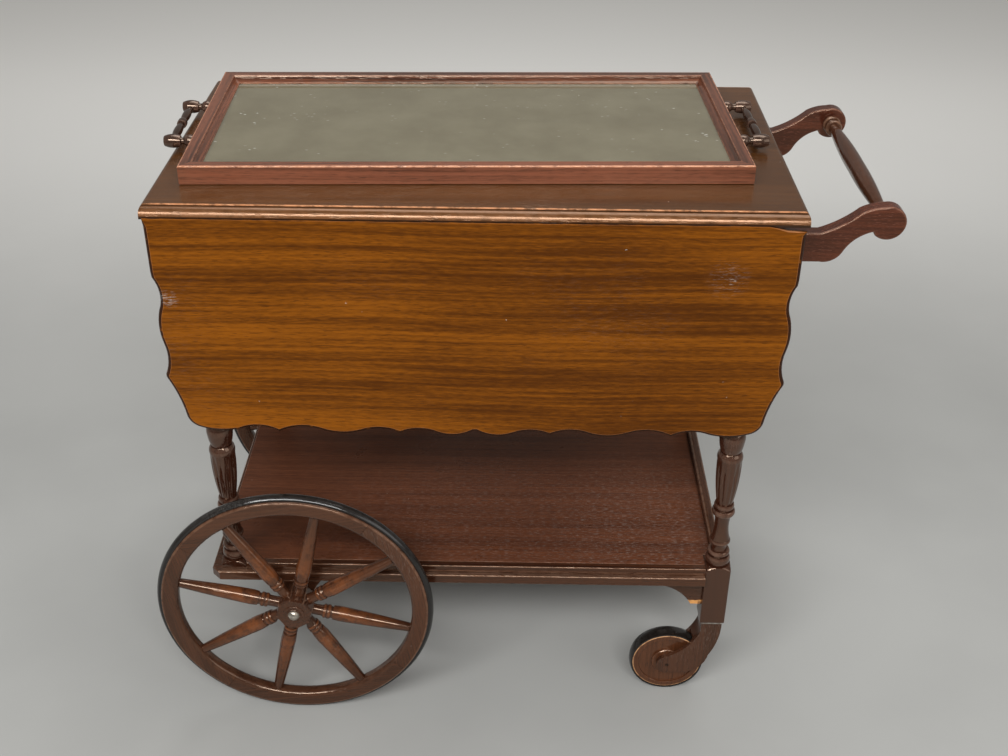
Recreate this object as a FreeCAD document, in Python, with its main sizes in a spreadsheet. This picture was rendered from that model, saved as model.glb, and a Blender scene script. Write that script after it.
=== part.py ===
import FreeCAD
import Part
import Sketcher
import math
import os
import re

# A drop leaf tea trolley: a table with two hanging leaves on turned legs, a shelf, two large
# spoked wheels at the left end, two casters at the right end, a push handle and a loose tray.
# Millimetres. X runs along the length towards the push handle, the front is at -Y, the floor
# is at Z = 0 and the origin is on the floor under the middle of the overall box.

SIZES = {
    # top board and the rule joints along its two long edges
    "top_middle_x": -34.7,
    "top_length": 702,
    "hinge_spread": 392,
    "board_thick": 14,
    "top_arris": 1,
    "end_round": 6,
    "rule_step": 2.5,
    "rule_radius": 9.5,
    "rule_gap": 0.5,
    "lip_gap": 0.3,
    # drop leaves
    "leaf_length": 695,
    "leaf_drop": 270,
    "scallop_depth": 10,
    "side_curve_high": 207,
    "side_curve_deep": 9.5,
    # hinges under the rule joints
    "hinge_place": 220,
    "hinge_wide": 40,
    "hinge_middle": 14,
    "hinge_plate": 1.6,
    "hinge_fixed_reach": 31,
    "hinge_leaf_reach": 40,
    "knuckle_radius": 2.2,
    "knuckle_room": 0.8,
    "hinge_end_gap": 0.3,
    "hinge_pin_radius": 1.1,
    "hinge_set_gap": 0.1,
    "run_gap": 0.05,
    # legs and aprons
    "leg_square": 31,
    "top_overhang": 32,
    "leaf_leg_gap": 2.5,
    "tongue_drop": 14,
    "apron_high": 81,
    "apron_thick": 16,
    "leg_plinth_long": 12,
    # leaf props
    "prop_drop": 25,
    "prop_margin": 14,
    "prop_rod_radius": 4,
    "prop_seat": 12,
    "prop_end_gap": 0.3,
    "prop_place": 190,
    "prop_thick": 16,
    "prop_deep": 10,
    "prop_eye": 9,
    "prop_gap": 0.3,
    # shelf
    "shelf_thick": 13,
    "shelf_ledge": 6.5,
    "shelf_overhang": 13,
    "shelf_clip": 10.3,
    "panel_thick": 9,
    "lip_wide": 10,
    "lip_proud": 0.8,
    "seat_gap": 0.2,
    "end_rail_thick": 12,
    "end_rail_proud": 12,
    # fan brackets under the shelf
    "bracket_long": 64,
    "bracket_high": 40,
    "bracket_thick": 18,
    "bracket_end": 9,
    "bracket_foot": 14,
    "bracket_hollow": 8.5,
    # large wheels
    "axle_inset": 79.5,
    "axle_drop": 18.5,
    "axle_radius": 5,
    "axle_end": 2,
    "bearer_wide": 60,
    "bearer_foot": 30,
    "bearer_hollow": 2.5,
    "bearer_thick": 26,
    "bearer_below": 14,
    "bearer_set": 1,
    "rim_radius": 166,
    "rim_wide": 21,
    "rim_deep": 18,
    "rim_round": 6,
    "rim_edge": 2,
    "rim_gap": 15,
    "tyre_thick": 6,
    "tyre_wide": 11.5,
    "hub_flats": 43,
    "hub_long": 35,
    "hub_edge": 2,
    "hub_ring_radius": 12.5,
    "hub_ring_proud": 1.2,
    "hub_collar_radius": 8.75,
    "hub_collar_proud": 2.4,
    "cap_radius": 7.3,
    "cap_high": 4.5,
    "spoke_count": 8,
    "spoke_turn": 31.5,
    "spoke_tip_radius": 5.7,
    "spoke_tip_swell": 1.6,
    # casters
    "caster_top": 122,
    "caster_trail": 52,
    "caster_radius": 49,
    "caster_tyre": 4,
    "caster_wide": 17,
    "caster_boss_radius": 20,
    "caster_band": 8,
    "caster_recess": 2.5,
    "caster_wheel_room": 3,
    "horn_wide": 26,
    "horn_thick": 30,
    "horn_slot": 19,
    "horn_eye": 14,
    "horn_crown": 12,
    "horn_knee": 67,
    "horn_back_hollow": 7,
    "horn_front_swell": 12,
    "horn_neck_swell": 3.7,
    "caster_side_gap": 0.3,
    "caster_pin_radius": 2.5,
    "pivot_plate": 2.6,
    "pivot_square": 26,
    "pivot_radius": 4,
    "pivot_long": 34,
    "swivel_gap": 0.4,
    "socket_wall": 1.5,
    "socket_long": 36,
    # push handle
    "arm_spread": 304,
    "arm_thick": 18,
    "arm_low": 61.5,
    "arm_high": 34.5,
    "arm_belly": 58,
    "scroll_reach": 127,
    "scroll_drop": 14.5,
    "scroll_radius": 19.4,
    "arm_notch_in": 15,
    "arm_notch_low": 10.5,
    "arm_waist_in": 44,
    "arm_waist_low": 33.5,
    "arm_crest_in": 30,
    "arm_crest_up": 12,
    "arm_sway_in": 72,
    "arm_sway_low": 12.5,
    "arm_belly_swell": 5,
    "arm_waist_hollow": 4,
    "arm_crest_swell": 1.5,
    "arm_sway_hollow": 2.5,
    "rail_middle_radius": 10.2,
    "rail_middle_swell": 1.2,
    # tray
    "tray_x": -14,
    "tray_y": 21,
    "tray_turn": 2,
    "tray_gap": 0.3,
    "tray_long": 623.5,
    "tray_wide": 314.5,
    "tray_high": 21.4,
    "tray_frame_wide": 21,
    "tray_flat": 13.5,
    "tray_edge": 2,
    "tray_base_low": 4.6,
    "tray_base_thick": 5,
    "tray_glass_thick": 3,
    "tray_post_spread": 113,
    "tray_axis_high": 10.9,
    "grip_set_back": 9.5,
    "grip_ring_radius": 6.6,
    "grip_ring_swell": 0.8,
}

# Turned pieces are stacks of members: name, length, radius at the start, radius at the end
# and the swell of the curve between them, which is negative for a hollow. A member with no
# start of its own goes on from the end of the one before.
LEG_TURNING = [
    ("leg_base_bead", 11, 13.2, 13.2, 1.8),
    ("leg_base_neck", 10, 10.6, 10.6, 0.4),
    ("leg_flare", 7, None, 13.9, -0.9),
    ("leg_flare_lip", 3.5, None, 13.4, 0.5),
    ("leg_waist", 39.5, None, 12.9, -3.6),
    ("leg_ring", 8, None, 12.9, 1.4),
    ("leg_low_ring", 10, 11.4, 11.4, 0.9),
    ("leg_vase", 70, 10.7, 15.5, 2.2),
    ("leg_shoulder", 11, None, 12.1, 1.2),
    ("leg_bulb", 33, None, 9.6, 4.2),
    ("leg_high_neck", 8, None, 9.6, -0.7),
    ("leg_high_ring", 9, 11.5, 11.5, 1.8),
    ("leg_shaft", 101, 10.6, 13, 0.6),
    ("leg_top_ring", 10, 13.2, 13.2, 1.4),
    ("leg_top_cove", 10.5, 11.8, 14.8, -1.2),
    ("leg_top_neck", 12, None, 14.8, 0),
]
SPOKE_TURNING = [
    ("spoke_neck", 13, 7.2, 7.2, -0.5),
    ("spoke_ring", 4.5, 8.2, 8.2, 0.7),
    ("spoke_bead", 5, 8.4, 8.4, 0.7),
    ("spoke_throat", 3, 7.6, 7.6, -0.3),
    ("spoke_belly", 26, 8.6, 9.6, 0.5),
]
RAIL_TURNING = [
    ("rail_collar", 12, 6.4, 6.4, 1.4),
    ("rail_neck", 9, 6.2, 6.2, -0.5),
    ("rail_ring", 6, 7.4, 7.4, 1.3),
    ("rail_cove", 9, 6.2, 6.6, -0.5),
]
POST_TURNING = [
    ("post_collar", 11, 5.6, 5.6, 1.2),
    ("post_neck", 5, 4.6, 4.6, -0.6),
    ("post_barrel", 19, 6.4, 6.4, 1.6),
]
GRIP_TURNING = [
    ("grip_end", 12, 4.2, 4.4, 0),
    ("grip_bulge", 36, 4.6, 4.8, 1.5),
    ("grip_neck", 3, 4.2, 4.2, 0),
]


def add_turning_sizes(members):
    """Give every member of a turned piece its own sizes."""
    for name, length, start, end, swell in members:
        SIZES[f"{name}_long"] = length
        if start is not None:
            SIZES[f"{name}_start"] = start
        SIZES[f"{name}_end"] = end
        if swell:
            SIZES[f"{name}_swell"] = swell


for turning in (LEG_TURNING, SPOKE_TURNING, RAIL_TURNING, POST_TURNING, GRIP_TURNING):
    add_turning_sizes(turning)
doc = FreeCAD.newDocument("tea_trolley")
sheet = doc.addObject("Spreadsheet::Sheet", "Sizes")
for row, (alias, number) in enumerate(SIZES.items(), start=1):
    sheet.set(f"A{row}", alias)
    sheet.set(f"B{row}", str(number))
    sheet.setAlias(f"B{row}", alias)
doc.recompute()

WORD = re.compile(r"[a-z][a-z0-9_]*")
SUBPARTS = []
FULL_TURN = 360
SAME_PLACE = 1e-4


def sized(text):
    """The expression with every size name pointing at its cell of the sheet."""
    return WORD.sub(lambda word: f"Sizes.{word[0]}" if word[0] in SIZES else word[0], str(text))


def value(text):
    """The number that an expression of size names stands for now."""
    return float(sheet.evalExpression(sized(text)))


def bind(item, path, text):
    """Tie one property of a document object to the sheet."""
    item.setExpression(path, sized(text))


def total(members):
    """The length of a stack of turned members."""
    return "(" + " + ".join(f"{member[0]}_long" for member in members) + ")"


# Heights, from the floor up.
WHEEL_RADIUS = "(rim_radius + tyre_thick)"
SHELF_BOTTOM = f"({WHEEL_RADIUS} + axle_drop)"
LEDGE = f"({SHELF_BOTTOM} + shelf_thick)"
PANEL_TOP = f"({LEDGE} + panel_thick)"
TURNED_TOP = f"(leg_plinth_long + {total(LEG_TURNING)})"
BLOCK_HIGH = "(apron_high + prop_drop + prop_margin)"
UNDERSIDE = f"({LEDGE} + {TURNED_TOP} + {BLOCK_HIGH})"
TOP = f"({UNDERSIDE} + board_thick)"
LEG_BOTTOM = "(caster_top + pivot_plate + swivel_gap)"
PROP_Z = f"({UNDERSIDE} - apron_high - prop_drop)"
# The rule joint turns about a line one radius inside the edge and below the step.
RULE_DEPTH = "(rule_step + rule_radius)"
HINGE_Y = "(hinge_spread / 2)"
HINGE_Z = f"({TOP} - {RULE_DEPTH})"
AXIS_ABOVE = f"(board_thick - {RULE_DEPTH})"
QUARTER_RISE = "(1 - sqrt(0.5))"
# Hinge plates lie flush with the boards, and their knuckles turn clear of the wood.
PLATE_UP = f"(hinge_plate - {AXIS_ABOVE})"
KNUCKLE_CLEAR = "(knuckle_radius + knuckle_room)"
# The sockets in the right legs hold the stems of the casters.
SOCKET_RADIUS = "(pivot_radius + run_gap + socket_wall)"
# Legs stand inside the hanging leaves and inside the ends of the top.
LEG_HALF = "(leg_square / 2)"
FACE_X = "(top_length / 2 - top_overhang)"
FACE_Y = f"({HINGE_Y} - {AXIS_ABOVE} - leaf_leg_gap)"
LEG_X = f"({FACE_X} - {LEG_HALF})"
LEG_Y = f"({FACE_Y} - {LEG_HALF})"
INNER_X = f"({FACE_X} - leg_square)"
INNER_Y = f"({FACE_Y} - leg_square)"
# The shelf reaches past the legs, and the wheels run outside the shelf.
SHELF_Y = f"({FACE_Y} + shelf_ledge)"
SHELF_END = f"({FACE_X} + shelf_overhang)"
WHEEL_X = f"({LEG_X} - axle_inset)"
WHEEL_Y = f"({SHELF_Y} + rim_gap + rim_deep / 2)"


def keep(item, label):
    """Name a finished sub-part and list it for writing."""
    item.Label = label
    SUBPARTS.append(item)
    return item


def place(item, x="0", y="0", z="0", rotation=None, turn=None):
    """Put a piece in the trolley; X counts from the middle of the top."""
    item.Placement = FreeCAD.Placement(FreeCAD.Vector(), rotation or FreeCAD.Rotation())
    bind(item, "Placement.Base.x", f"top_middle_x + {x}")
    bind(item, "Placement.Base.y", y)
    bind(item, "Placement.Base.z", z)
    if turn is not None:
        item.Placement = FreeCAD.Placement(FreeCAD.Vector(), about("z", 1))
        bind(item, "Placement.Rotation.Angle", turn)
    return item


def about(axis, degrees):
    """A rotation about one of the three axes."""
    direction = {"x": (1, 0, 0), "y": (0, 1, 0), "z": (0, 0, 1)}[axis]
    return FreeCAD.Rotation(FreeCAD.Vector(*direction), degrees)


def new_body(name):
    return doc.addObject("PartDesign::Body", name)


def new_sketch(body, name, role, shift):
    """A sketch on one of the body's own planes, moved by shift along the plane's own axes."""
    sketch = body.newObject("Sketcher::SketchObject", name)
    plane = next(item for item in body.Origin.OriginFeatures if item.Role == role)
    sketch.AttachmentSupport = [(plane, "")]
    sketch.MapMode = "FlatFace"
    for letter, text in zip("xyz", shift):
        if text != "0":
            bind(sketch, f"AttachmentOffset.Base.{letter}", text)
    return sketch


def arc_between(start, stop, rise):
    """The arc from start to stop that stands out by rise on the right of the way."""
    way = stop - start
    side = FreeCAD.Vector(way.y, -way.x, 0).normalize()
    height = abs(rise)
    radius = way.Length ** 2 / (8 * height) + height / 2
    outward = 1 if rise > 0 else -1
    centre = (start + stop) * 0.5 + side * outward * (height - radius)
    first, last = (start, stop) if rise > 0 else (stop, start)
    angles = [math.atan2(point.y - centre.y, point.x - centre.x) for point in (first, last)]
    circle = Part.Circle(centre, FreeCAD.Vector(0, 0, 1), radius)
    return Part.ArcOfCircle(circle, angles[0], angles[1])


def draw_loop(sketch, corners):
    """Draw a closed loop. A corner is (x, y), or (x, y, rise) where an arc leads to it."""
    points = [FreeCAD.Vector(value(corner[0]), value(corner[1]), 0) for corner in corners]
    first = sketch.GeometryCount
    edges = []
    ends = []
    radii = {}
    for index, corner in enumerate(corners):
        start = points[index - 1]
        rise = value(corner[2]) if len(corner) > 2 else 0
        if rise == 0:
            edges.append(Part.LineSegment(start, points[index]))
        else:
            edges.append(arc_between(start, points[index], rise))
            before = corners[index - 1]
            chord = f"((({corner[0]}) - ({before[0]}))^2 + (({corner[1]}) - ({before[1]}))^2)"
            radii[index] = f"{chord} / (8 * abs({corner[2]})) + abs({corner[2]}) / 2"
        ends.append((1, 2) if rise >= 0 else (2, 1))
    sketch.addGeometry(edges, False)
    rules = []
    texts = []
    for index, corner in enumerate(corners):
        following = (index + 1) % len(corners)
        here = first + index
        rules.append(Sketcher.Constraint("Coincident", here, ends[index][1],
                                         first + following, ends[following][0]))
        texts.append(None)
        rules.append(Sketcher.Constraint("DistanceX", -1, 1, here, ends[index][1], points[index].x))
        texts.append(corner[0])
        rules.append(Sketcher.Constraint("DistanceY", -1, 1, here, ends[index][1], points[index].y))
        texts.append(corner[1])
        if index in radii:
            rules.append(Sketcher.Constraint("Radius", here, edges[index].Radius))
            texts.append(radii[index])
    tie_rules(sketch, rules, texts)


def draw_circle(sketch, x, y, radius):
    """Draw one circle."""
    centre = FreeCAD.Vector(value(x), value(y), 0)
    here = sketch.GeometryCount
    sketch.addGeometry([Part.Circle(centre, FreeCAD.Vector(0, 0, 1), value(radius))], False)
    rules = [
        Sketcher.Constraint("DistanceX", -1, 1, here, 3, centre.x),
        Sketcher.Constraint("DistanceY", -1, 1, here, 3, centre.y),
        Sketcher.Constraint("Radius", here, value(radius)),
    ]
    tie_rules(sketch, rules, [x, y, radius])


def tie_rules(sketch, rules, texts):
    """Add constraints to a sketch and tie each one that has a text to the sheet."""
    start = sketch.ConstraintCount
    sketch.addConstraint(rules)
    for offset, text in enumerate(texts):
        if text is not None:
            bind(sketch, f"Constraints[{start + offset}]", text)


def outline(body, name, role, *loops, shift=("0", "0", "0")):
    """A sketch of closed loops."""
    sketch = new_sketch(body, name, role, shift)
    for corners in loops:
        draw_loop(sketch, corners)
    return sketch


def disc(body, name, role, radius, x="0", y="0", shift=("0", "0", "0")):
    """A sketch of one circle."""
    sketch = new_sketch(body, name, role, shift)
    draw_circle(sketch, x, y, radius)
    return sketch


def pad(body, name, sketch, length, both=False, back=False):
    """Raise a sketch to a length, along its normal, against it, or half to each side."""
    feature = body.newObject("PartDesign::Pad", name)
    feature.Profile = sketch
    bind(feature, "Length", length)
    if both:
        feature.SideType = "Symmetric"
    feature.Reversed = back
    return feature


def pocket(body, name, sketch, length=None, both=False, along=False):
    """Cut a sketch out of the body, and make sure that it took something away."""
    doc.recompute()
    before = body.Shape.Volume
    feature = body.newObject("PartDesign::Pocket", name)
    feature.Profile = sketch
    if length is None:
        feature.Type = "ThroughAll"
    else:
        bind(feature, "Length", length)
    if both:
        feature.SideType = "Symmetric"
    feature.Reversed = along
    doc.recompute()
    if not body.Shape.Volume < before:
        raise RuntimeError(f"{body.Name}: {name} cut nothing")
    return feature


def groove(body, name, sketch):
    """Turn a half profile once round the upright axis, take it away and make sure that it cut."""
    doc.recompute()
    before = body.Shape.Volume
    feature = body.newObject("PartDesign::Groove", name)
    feature.Profile = sketch
    feature.ReferenceAxis = (sketch, ["V_Axis"])
    feature.Angle = FULL_TURN
    doc.recompute()
    if not body.Shape.Volume < before:
        raise RuntimeError(f"{body.Name}: {name} cut nothing")
    return feature


def revolve(body, name, sketch, axis="V_Axis"):
    """Turn a half profile once round one of its sketch's axes."""
    feature = body.newObject("PartDesign::Revolution", name)
    feature.Profile = sketch
    feature.ReferenceAxis = (sketch, [axis])
    feature.Angle = FULL_TURN
    return feature


def chamfer_level_edges(body, name, base, height, size):
    """Chamfer the edges of a feature that lie level at one height."""
    doc.recompute()
    level = value(height)
    edges = [f"Edge{number}" for number, edge in enumerate(base.Shape.Edges, start=1)
             if all(abs(point.Point.z - level) < SAME_PLACE for point in edge.Vertexes)]
    feature = body.newObject("PartDesign::Chamfer", name)
    feature.Base = (base, edges)
    bind(feature, "Size", size)
    body.Tip = feature
    return feature


def box(name, x, y, z):
    """A block between two places along each axis."""
    block = doc.addObject("Part::Box", name)
    for length, (low, high) in zip(("Length", "Width", "Height"), (x, y, z)):
        bind(block, length, f"({high}) - ({low})")
    for letter, (low, high) in zip("xyz", (x, y, z)):
        bind(block, f"Placement.Base.{letter}", low)
    return block


def rod_along_x(name, radius, start, stop, y="0", z="0"):
    """A round bar along X."""
    bar = doc.addObject("Part::Cylinder", name)
    bar.Placement = FreeCAD.Placement(FreeCAD.Vector(), about("y", 90))
    bind(bar, "Radius", radius)
    bind(bar, "Height", f"({stop}) - ({start})")
    for letter, text in zip("xyz", (start, y, z)):
        bind(bar, f"Placement.Base.{letter}", text)
    return bar


def union(name, items):
    joined = doc.addObject("Part::MultiFuse", name)
    joined.Shapes = items
    return joined


def difference(name, base, tool):
    rest = doc.addObject("Part::Cut", name)
    rest.Base = base
    rest.Tool = tool
    return rest


def group(name, items):
    """Separate solids of one kind under one name."""
    together = doc.addObject("Part::Compound", name)
    together.Links = items
    return together


def stacked(members, start="0"):
    """The outer corners of a turned stack, as (radius, height) from the start upwards."""
    corners = []
    height = start
    for member in members:
        name = member[0]
        if member[2] is not None:
            corners.append((f"{name}_start", height))
        height = f"{height} + {name}_long"
        swell = (f"{name}_swell",) if member[4] else ()
        corners.append((f"{name}_end", height) + swell)
    return corners


def square(half):
    """The corners of a centred square."""
    return [(f"-{half}", f"-{half}"), (half, f"-{half}"), (half, half), (f"-{half}", half)]


def rectangle(x, y):
    """The corners of a rectangle between two places along each axis."""
    return [(x[0], y[0]), (x[1], y[0]), (x[1], y[1]), (x[0], y[1])]


SIDES = {"front": -1, "back": 1}
HALF_TURN = about("z", 180)


def facing(side):
    """Pieces are drawn for the front; the back ones are turned half round."""
    return about("z", 0) if side == "front" else HALF_TURN


# Top board: a section with a step and a quarter round on both long edges.
def make_top_board():
    edge_y = f"({HINGE_Y} + rule_radius)"
    shoulder = f"({HINGE_Z} + rule_radius)"
    section = [
        (f"-{edge_y}", UNDERSIDE),
        (edge_y, UNDERSIDE),
        (edge_y, HINGE_Z),
        (HINGE_Y, shoulder, f"rule_radius * {QUARTER_RISE}"),
        (HINGE_Y, f"{TOP} - top_arris"),
        (f"{HINGE_Y} - top_arris", TOP, f"top_arris * {QUARTER_RISE}"),
        (f"-{HINGE_Y} + top_arris", TOP),
        (f"-{HINGE_Y}", f"{TOP} - top_arris", f"top_arris * {QUARTER_RISE}"),
        (f"-{HINGE_Y}", shoulder),
        (f"-{edge_y}", HINGE_Z, f"rule_radius * {QUARTER_RISE}"),
    ]
    body = new_body("TopBlank")
    pad(body, "TopPad", outline(body, "TopSection", "YZ_Plane", section), "top_length", both=True)
    end = "(top_length / 2)"
    round_over = f"-end_round * {QUARTER_RISE}"
    right = [
        (end, f"{TOP} - end_round", round_over),
        (end, TOP),
        (f"{end} - end_round", TOP),
    ]
    left = [
        (f"-{end} + end_round", TOP, round_over),
        (f"-{end}", TOP),
        (f"-{end}", f"{TOP} - end_round"),
    ]
    pocket(body, "TopEnds", outline(body, "TopEndWaste", "XZ_Plane", right, left), both=True)
    recesses = []
    for side, sign in SIDES.items():
        for end_name, way in (("Left", -1), ("Right", 1)):
            recesses += hinge_recess(f"{side}{end_name}", sign, f"{way} * hinge_place")
    board = difference("TopBoard", body, union("TopRecesses", recesses))
    keep(place(board), "top_board")


def hinge_recess(name, sign, middle):
    """The plate bed, the knuckle slot and the leaf plate's slot of one hinge, under the top."""
    half = "(hinge_wide / 2 + hinge_set_gap)"
    along = (f"{middle} - {half}", f"{middle} + {half}")
    plate_top = f"({UNDERSIDE} + hinge_plate)"

    def across(low, high):
        places = (f"{HINGE_Y} + {low}", f"{HINGE_Y} + {high}")
        return places if sign > 0 else (f"-({places[1]})", f"-({places[0]})")

    bed = box(f"Bed{name}", along, across("-hinge_fixed_reach - hinge_set_gap", f"-{KNUCKLE_CLEAR}"),
              (UNDERSIDE, f"{plate_top} + hinge_set_gap"))
    slot = box(f"Slot{name}", along, across(f"-{KNUCKLE_CLEAR}", KNUCKLE_CLEAR),
               (UNDERSIDE, f"{HINGE_Z} + {KNUCKLE_CLEAR}"))
    way_out = box(f"WayOut{name}", along, across(KNUCKLE_CLEAR, "rule_radius + rule_gap"),
                  (UNDERSIDE, f"{plate_top} + lip_gap"))
    return [bed, slot, way_out]


# Drop leaf: drawn hanging at the front, with its hinge line as the origin.
LEAF_HEM = [
    # along as a share of half the leaf, height and bow as shares of the scallop depth
    (0.004, 0.69, 0),
    (0.130, 0.39, 0.53),
    (0.248, 0.25, -0.45),
    (0.374, 0.48, -0.48),
    (0.506, 0.53, 0.39),
    (0.649, 0.23, -0.57),
    (0.771, 0.60, -0.51),
    (0.911, 0.70, 0.39),
]
LEAF_SIDE = [
    # inset and bow as shares of the side curve's depth, height as a share of its height
    (1.80, 0.106, 0.28),
    (0.03, 0.360, -0.23),
    (0.03, 0.377, 0),
    (0.32, 0.570, -0.36),
    (0.34, 0.770, 0.29),
    (0.06, 0.966, -0.50),
    (0, 1, 0),
]


def leaf_outline():
    """The leaf's face: straight along the hinge, scalloped round its lower edge and corners."""
    half = "(leaf_length / 2)"
    hem = [(f"{half} * {along}", f"scallop_depth * {up} - leaf_drop", f"scallop_depth * {bow}")
           for along, up, bow in LEAF_HEM]
    side = [(f"{half} - side_curve_deep * {inset}", f"side_curve_high * {up} - leaf_drop",
             f"side_curve_deep * {bow}") for inset, up, bow in LEAF_SIDE]
    right = hem + side
    left = []
    bow = "0"
    for along, up, own_bow in reversed(right):
        left.append((f"-({along})", up, bow))
        bow = own_bow
    return [(half, "-lip_gap"), (f"-{half}", "-lip_gap")] + left + right


def make_leaf(side):
    name = side.title()
    body = new_body(f"Leaf{name}")
    face = outline(body, f"LeafFace{name}", "XZ_Plane", leaf_outline(),
                   shift=("0", "0", f"-{AXIS_ABOVE}"))
    pad(body, f"LeafPad{name}", face, "board_thick")
    cove = disc(body, f"LeafCove{name}", "YZ_Plane", "rule_radius + rule_gap")
    pocket(body, f"LeafHollow{name}", cove, both=True)
    beds = []
    half = "(hinge_wide / 2 + hinge_set_gap)"
    for end_name, way in (("Left", -1), ("Right", 1)):
        middle = f"{way} * hinge_place"
        beds.append(box(f"LeafBed{name}{end_name}", (f"{middle} - {half}", f"{middle} + {half}"),
                        (f"{AXIS_ABOVE} - hinge_plate - hinge_set_gap", AXIS_ABOVE),
                        ("-hinge_leaf_reach - hinge_set_gap", "0")))
    leaf = difference(f"LeafCut{name}", body, union(f"LeafBeds{name}", beds))
    keep(at_hinge(leaf, side), f"leaf_{side}")


def at_hinge(item, side):
    """Put a piece that was drawn about the hinge line on the front or back edge of the top."""
    return place(item, "0", f"{SIDES[side]} * {HINGE_Y}", HINGE_Z, facing(side))


# Hinges: a fixed plate with the middle knuckle, a leaf plate with the two outer ones, and a pin.
def make_hinges():
    fixed = []
    pins = []
    for side in SIDES:
        moving = []
        for end_name, way in (("Left", -1), ("Right", 1)):
            name = f"{side.title()}{end_name}"
            middle = f"{way} * hinge_place"
            fixed.append(at_hinge(fixed_hinge_plate(name, middle), side))
            moving.append(moving_hinge_plate(name, middle))
            pin = rod_along_x(f"HingePin{name}", "hinge_pin_radius",
                              f"{middle} - hinge_wide / 2", f"{middle} + hinge_wide / 2")
            pins.append(at_hinge(group(f"PinPlace{name}", [pin]), side))
        plates = group(f"LeafPlates{side.title()}", moving)
        keep(at_hinge(plates, side), f"leaf_hinge_plates_{side}")
    keep(group("FixedPlates", fixed), "hinge_fixed_plates")
    keep(group("HingePins", pins), "hinge_pins")


def pin_hole(name, middle):
    return rod_along_x(f"PinHole{name}", "hinge_pin_radius + run_gap",
                       f"{middle} - hinge_wide", f"{middle} + hinge_wide")


def fixed_hinge_plate(name, middle):
    """Drawn for the front: the plate runs inwards along +Y, flush with the underside."""
    wide = (f"{middle} - hinge_wide / 2", f"{middle} + hinge_wide / 2")
    narrow = (f"{middle} - hinge_middle / 2", f"{middle} + hinge_middle / 2")
    upright = (f"-{AXIS_ABOVE}", PLATE_UP)
    plate = box(f"FixedPlate{name}", wide, (KNUCKLE_CLEAR, "hinge_fixed_reach"), upright)
    tongue = box(f"FixedTongue{name}", narrow, ("0", KNUCKLE_CLEAR), upright)
    knuckle = rod_along_x(f"FixedKnuckle{name}", "knuckle_radius", *narrow)
    return difference(f"FixedHinge{name}", union(f"FixedBody{name}", [plate, tongue, knuckle]),
                      pin_hole(f"Fixed{name}", middle))


def moving_hinge_plate(name, middle):
    """Drawn for the front: the plate hangs down, flush with the leaf's inner face."""
    across = (f"-{PLATE_UP}", AXIS_ABOVE)
    wide = (f"{middle} - hinge_wide / 2", f"{middle} + hinge_wide / 2")
    inner = "(hinge_middle / 2 + hinge_end_gap)"
    solids = [box(f"LeafPlate{name}", wide, across, ("-hinge_leaf_reach", f"-{KNUCKLE_CLEAR}"))]
    spans = {"Low": (wide[0], f"{middle} - {inner}"), "High": (f"{middle} + {inner}", wide[1])}
    for part, span in spans.items():
        solids.append(box(f"LeafTongue{name}{part}", span, across, (f"-{KNUCKLE_CLEAR}", "0")))
        solids.append(rod_along_x(f"LeafKnuckle{name}{part}", "knuckle_radius", *span))
    return difference(f"LeafHinge{name}", union(f"LeafHingeBody{name}", solids),
                      pin_hole(f"Leaf{name}", middle))


# Legs: square blocks with a turned stretch between, drawn from the ledge of the shelf upwards.
def make_leg(side, end):
    name = f"{side.title()}{end.title()}"
    body = new_body(f"Leg{name}")
    at_casters = end == "right"
    depth = f"({LEDGE} - {LEG_BOTTOM})" if at_casters else "0"
    foot = outline(body, f"LegFoot{name}", "XY_Plane", square(LEG_HALF),
                   shift=("0", "0", f"-{depth}" if at_casters else "0"))
    pad(body, f"LegLowBlock{name}", foot, f"leg_plinth_long + {depth}")
    head = outline(body, f"LegHead{name}", "XY_Plane", square(LEG_HALF), shift=("0", "0", TURNED_TOP))
    pad(body, f"LegHighBlock{name}", head, BLOCK_HIGH)
    tongues = outline(body, f"LegTongueWaste{name}", "XZ_Plane", *tongue_waste())
    groove(body, f"LegTongues{name}", tongues)
    overlap = f"{TURNED_TOP} + leg_square"
    profile = [("0", "0"), ("leg_base_bead_start", "0")]
    profile += stacked(LEG_TURNING, "leg_plinth_long")
    profile += [("leg_top_neck_end", overlap), ("0", overlap)]
    revolve(body, f"LegTurning{name}", outline(body, f"LegProfile{name}", "XZ_Plane", profile))
    prop_up = f"({TURNED_TOP} + prop_margin)"
    bore = disc(body, f"LegPropBore{name}", "YZ_Plane", "prop_rod_radius + run_gap", "0", prop_up,
                shift=("0", "0", f"{LEG_HALF} - prop_seat"))
    pocket(body, f"LegPropSeat{name}", bore, along=True)
    if at_casters:
        hole = disc(body, f"LegSocketRing{name}", "XY_Plane", f"{SOCKET_RADIUS} + run_gap",
                    shift=("0", "0", f"-{depth}"))
        pocket(body, f"LegSocketHole{name}", hole, "socket_long + run_gap", along=True)
    sign = 1 if at_casters else -1
    turned = HALF_TURN if at_casters else about("z", 0)
    place(body, f"{sign} * {LEG_X}", f"{SIDES[side]} * {LEG_Y}", LEDGE, turned)
    keep(body, f"leg_{side}_{end}")


def tongue_waste():
    """Half sections of the waste that the lathe takes off the corners of both square blocks."""
    low = [
        (LEG_HALF, "leg_plinth_long"),
        ("leg_square", "leg_plinth_long - tongue_drop"),
        ("leg_square", "leg_plinth_long"),
    ]
    high = [
        (LEG_HALF, TURNED_TOP),
        ("leg_square", TURNED_TOP),
        ("leg_square", f"{TURNED_TOP} + tongue_drop"),
    ]
    return low, high


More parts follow.
